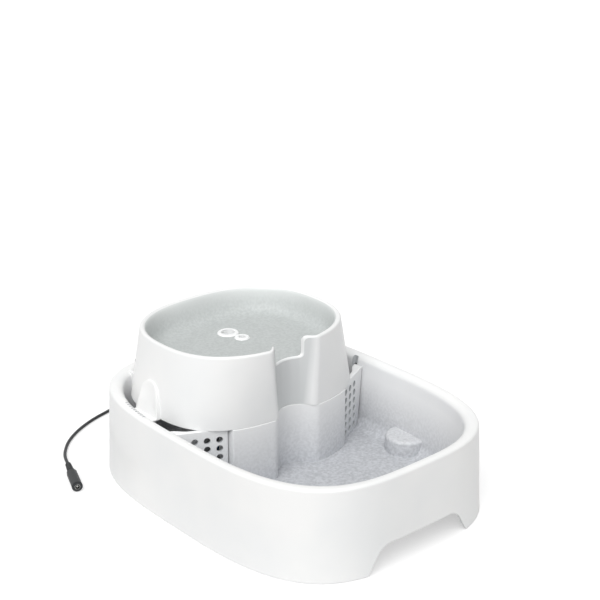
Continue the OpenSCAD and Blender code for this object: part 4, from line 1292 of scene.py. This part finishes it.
def make_riser():
    """Riser tube with the bead round its lower end."""
    low, high = corners("riser_tube")
    outer = (high.x - low.x) / 2
    bore = outer - 2.05
    profile = [
        (bore + 0.4, low.z), (outer + 0.1, low.z), (outer + 0.5, low.z + 0.4), (outer + 0.5, low.z + 4.6),
        (outer + 0.1, low.z + 5), (outer, low.z + 5.1), (outer, high.z - 0.5), (outer - 0.4, high.z),
        (bore + 0.4, high.z), (bore, high.z - 0.4), (bore, low.z + 0.4), (bore + 0.4, low.z),
    ]
    sections = [[(*around(OUTLET_AT, r, a), z) for a in full_turn(48)] for r, z in profile]
    return loft(sections, cap=False)


placed("riser", make_riser(), [pp_grey], "pump", "grey_pp", "riser_tube")


# ---- pump


def make_pump_body():
    """Housing with round outer edges, a shallow seam down its side and its inner rooms kept.

    The rounded block reaches past the open side, which keeps its sharp edge under the cover.
    """
    low, high = corners("pump_housing")
    rounded = block(low, high + Vector((6, 0, 0)), 2.4, 4)
    seams = merged(
        block((low.x + 3.4, low.y - 1, low.z - 1), (low.x + 4.1, low.y + 0.45, high.z + 1)),
        block((low.x - 1, low.y + 3.4, low.z - 1), (low.x + 0.4, low.y + 4.0, high.z + 1)),
    )
    return combined(combined(cad_copy("pump_housing"), rounded, "INTERSECT"), seams, "DIFFERENCE")


placed("pump_body", make_pump_body(), [abs_charcoal], "pump", "pump_plastic", "pump_housing")

for node, name, body, material, slot, width in (
    ("intake_cover", "pump_front", "pump", abs_charcoal, "pump_plastic", 0.4),
    ("volute_cover", "pump_volute", "pump", abs_charcoal, "pump_plastic", 0.2),
    ("rating_plate", "bare_label", "pump", label_film, "label_film", 0.12),
    ("cable_gland", "lead_gland", "pump", rubber_black, "pump_rubber", 0.3),
    ("shaft_bushes", "bush_pair", "pump", rubber_black, "pump_rubber", 0.15),
    ("stator_coil", "stator_winding", "pump", wire_copper, "coil_copper", 0.5),
    ("coil_tie", "lead_tie", "tub", rubber_black, "pump_rubber", 0.15),
):
    placed(name, softened(node, width, 3), [material], body, slot, node)

PAD_HALF = Vector((6.5, 5))
feet_low, feet_high = corners("pump_feet")
pads = []
for x in (feet_low.x + 3, feet_high.x - 3):
    for y in (feet_low.y + 3.4, feet_high.y - 3.4):
        near = (x - PAD_HALF.x, y - PAD_HALF.y, feet_low.z)
        pads.append(block(near, (x + PAD_HALF.x, y + PAD_HALF.y, feet_high.z + 0.1), 0.5))
placed("pump_pads", merged(*pads), [rubber_black], "pump", "pump_rubber", "pump_feet")

for node, material in {
    "stator_core": core_steel,
    "rotor_shaft": ceramic,
    "rotor_magnet": ferrite,
    "impeller": nylon,
    "socket_contact": nickel,
}.items():
    nodes[node].data.materials.clear()
    nodes[node].data.materials.append(material)


# ---- filter

holder_low, holder_high = corners("filter_holder")
SLEEVE_HALF = 57.9
SLEEVE_DEPTH = 13.6
SHEET = 1.4
POST = 8.8
BAR_LOW_Z = holder_high.z - 12


def round_rect(x0, x1, y0, y1, radius):
    """Outline of a rectangle with round corners."""
    return filleted([(x0, y0, radius), (x1, y0, radius), (x1, y1, radius), (x0, y1, radius)])


def make_holder():
    """Grip bar over a sleeve that is open at the front and below, with a ledge across its back."""
    low, high = holder_low, holder_high
    back = HOLDER_Y + SLEEVE_DEPTH
    panel = back - SHEET
    window = SLEEVE_HALF - POST
    bar_plan = round_rect(low.x, high.x, low.y, high.y, 7)
    sleeve_plan = round_rect(-SLEEVE_HALF, SLEEVE_HALF, HOLDER_Y, back, 3.2)
    bm = combined(
        prism(bar_plan, BAR_LOW_Z, high.z, 1.6, 2.4, 4),
        prism(sleeve_plan, low.z, BAR_LOW_Z + 3, 2.2, 0, 4),
        "UNION",
    )
    rooms = [
        block((-SLEEVE_HALF + SHEET, HOLDER_Y + SHEET, 40), (SLEEVE_HALF - SHEET, panel, 95.6)),
        block((-window, HOLDER_Y - 2, 38), (window, 66.4, high.z - 1.5)),
        block((-window, HOLDER_Y - 3, 97.1), (window, panel, high.z - 1.5)),
        block((low.x + 6, back + 1.4, BAR_LOW_Z - 1), (high.x - 6, high.y - SHEET, high.z - 2)),
    ]
    for room in rooms:
        bm = combined(bm, tinted(room, 2), "DIFFERENCE")
    fields = merged(
        block((-55.3, 60, low.z + 3), (55.3, panel + 0.4, 94.8)),
        block((-window + 1, 60, 98), (window - 1, panel + 0.4, high.z - 2.5)),
    )
    bm = combined(bm, tinted(fields, 1), "DIFFERENCE")
    for face in bm.faces:
        if face.material_index == 2 or face.calc_center_median().y < (panel - 0.5) * MM:
            face.material_index = 0
    front = both_ends(sharp_edges(bm, 60), lambda p: p.y < HOLDER_Y + 0.05 and abs(p.x) < window + 1)
    return round_edges(bm, front, 0.5, 2)


placed("holder", make_holder(), [abs_holder, abs_panel], "holder", "white_abs", "filter_holder")

tray_low, tray_high = corners("cartridge_tray")
FRAME_SKIN = 1.6
WINDOW = Vector((29.5, 46.9))
WINDOW_RIB = 5
WINDOW_BAR = 2.6
HOOK_X = (-34.5, 0, 34.5)
HOOK_HALF = 4.2
HOOK_REACH = 1.5


def window_cutters(y0, y1):
    """The nine windows: three columns with round outer corners, each with two bars across."""
    cutters = []
    third = (WINDOW.y - 2 * WINDOW_BAR) / 3
    for i in (-1, 0, 1):
        middle = i * (WINDOW.x + WINDOW_RIB)
        x0, x1 = middle - WINDOW.x / 2, middle + WINDOW.x / 2
        for j in (0, 1, 2):
            z0 = tray_low.z + 4 + j * (third + WINDOW_BAR)
            z1 = z0 + third
            below, above = (6.5 if j == 0 else 1.0), (6.5 if j == 2 else 1.0)
            outline = filleted([(x0, z0, below), (x1, z0, below), (x1, z1, above), (x0, z1, above)])
            cutters.append(upright(prism(outline, 0, y1 - y0), y1))
    return merged(*cutters)


def hooks(half, inset, y0, y1):
    """Six blocks at the inner edge of the tray's rim, three along its top and three below."""
    low, high = tray_low.z + FRAME_SKIN - 0.3, tray_high.z - FRAME_SKIN + 0.3
    reach = 0.3 + inset + HOOK_REACH
    places = [(x, z) for x in HOOK_X for z in (low, high - reach)]
    return merged(*(block((x - half, y0, z), (x + half, y1, z + reach)) for x, z in places))


def make_cartridge_frame():
    """Tray of the cartridge: round outer edges, open at the front, with hooks over the lid's edge."""
    skin = Vector((FRAME_SKIN, 0, FRAME_SKIN))
    room = block(tray_low + skin - Vector((0, 1, 0)), tray_high - skin - Vector((0, FRAME_SKIN, 0)))
    bm = combined(block(tray_low, tray_high, 2.0, 4), room, "DIFFERENCE")
    bm = combined(bm, window_cutters(tray_high.y - 3, tray_high.y + 1), "DIFFERENCE")
    return combined(bm, hooks(HOOK_HALF, 0, tray_low.y + 0.15, tray_low.y + 1.3), "UNION")


def make_cartridge_grille():
    """Lid of the cartridge: a flat grille, notched for the hooks, with a narrow gap round it."""
    gap = FRAME_SKIN + 0.6
    low, high = tray_low + Vector((gap, 0, gap)), tray_high - Vector((gap, 0, gap))
    outline = round_rect(low.x, high.x, low.z, high.z, 1.2)
    bm = upright(prism(outline, 0, 2, 0, 0.35, 2), tray_low.y + 2.1)
    bm = combined(bm, window_cutters(tray_low.y - 1, tray_low.y + 3), "DIFFERENCE")
    bm = combined(bm, hooks(HOOK_HALF + 0.6, 0.6, tray_low.y - 1, tray_low.y + 1.5), "DIFFERENCE")
    # the windows' rims on the front face, and not the lid's own edge
    face_y, lid_half = tray_low.y + 0.1, 52.5
    rim = both_ends(sharp_edges(bm, 60), lambda p: abs(p.y - face_y) < 1e-3 and abs(p.x) < lid_half)
    return shaded_sides(round_edges(bm, rim, 0.3, 2), tray_low.y)


def shaded_sides(bm, front_y):
    """Gives the sides that face across a deep seam or window the duller finish, drawn darker as painted
    shade.
    """
    bm.normal_update()
    for face in bm.faces:
        middle = face.calc_center_median() / MM
        within = middle.y > front_y + 0.3 and abs(middle.x) < 55.2
        face.material_index = int(within and abs(face.normal.y) < 0.5)
    return bm


for name, bm, node in (
    ("cartridge_frame", make_cartridge_frame(), "cartridge_tray"),
    ("cartridge_grille", make_cartridge_grille(), "cartridge_lid"),
):
    placed(name, bm, [pp_blue, pp_blue_painted_side_shade], "cartridge", "blue_pp", node)
felt = softened("filter_media", 0.8, 3)
placed("filter_felt", felt, [needled_felt()], "cartridge", "filter_fabric", "filter_media")


# ---- socket

socket_form = softened("socket_shell", 0.2)
socket = placed("lead_socket", socket_form, [pvc_black], "tub", "lead_pvc", "socket_shell")


# ---- floor and light


def seen_directly(tree):
    """One for rays from the camera, a mirror or a clear piece, and nought for light on the object."""
    ray = add(tree, "LightPath").node.outputs
    seen = ray["Is Camera Ray"]
    for other in ("Is Glossy Ray", "Is Transmission Ray"):
        seen = add(tree, "Math", {0: seen, 1: ray[other]}, operation="MAXIMUM")
    return seen


def make_floor():
    """White floor that shows white where light reaches it and keeps the object's soft shadow."""
    bm = bmesh.new()
    bmesh.ops.create_grid(bm, x_segments=1, y_segments=1, size=8.0)
    tones = {"Base_Color": linear("#C8C8C8"), "Emission_Color": (1, 1, 1, 1)}
    material, tree = new_finish("floor_white", Roughness=0.9, **tones)
    lift = add(tree, "Math", {0: seen_directly(tree), 1: 0.5}, operation="MULTIPLY")
    floor = as_object("floor", bm, [finished(material, Emission_Strength=lift)], even=False)
    # just below the feet, so that the two don't meet in one plane
    floor.location.z = -0.5 * MM


make_floor()


def sun(name, towards, strength, spread_deg):
    """Even lamp that shines along a direction, with a soft edge to its shadow."""
    light = bpy.data.lights.new(name, "SUN")
    light.energy = strength
    light.angle = math.radians(spread_deg)
    lamp = bpy.data.objects.new(name, light)
    lamp.rotation_euler = Vector(towards).to_track_quat("-Z", "Y").to_euler()
    bpy.context.scene.collection.objects.link(lamp)


sun("key", (0.5, 0.33, -0.8), 2.5, 50)

world = bpy.data.worlds.new("studio")
bpy.context.scene.world = world
world.use_nodes = True
sky = world.node_tree
background = sky.nodes["Background"]
background.inputs["Color"].default_value = (1, 1, 1, 1)
strength = add(sky, "MapRange", {"Value": seen_directly(sky), "To Min": 0.44, "To Max": 1.0})
sky.links.new(strength, background.inputs["Strength"])

bpy.context.scene.view_settings.view_transform = "Standard"
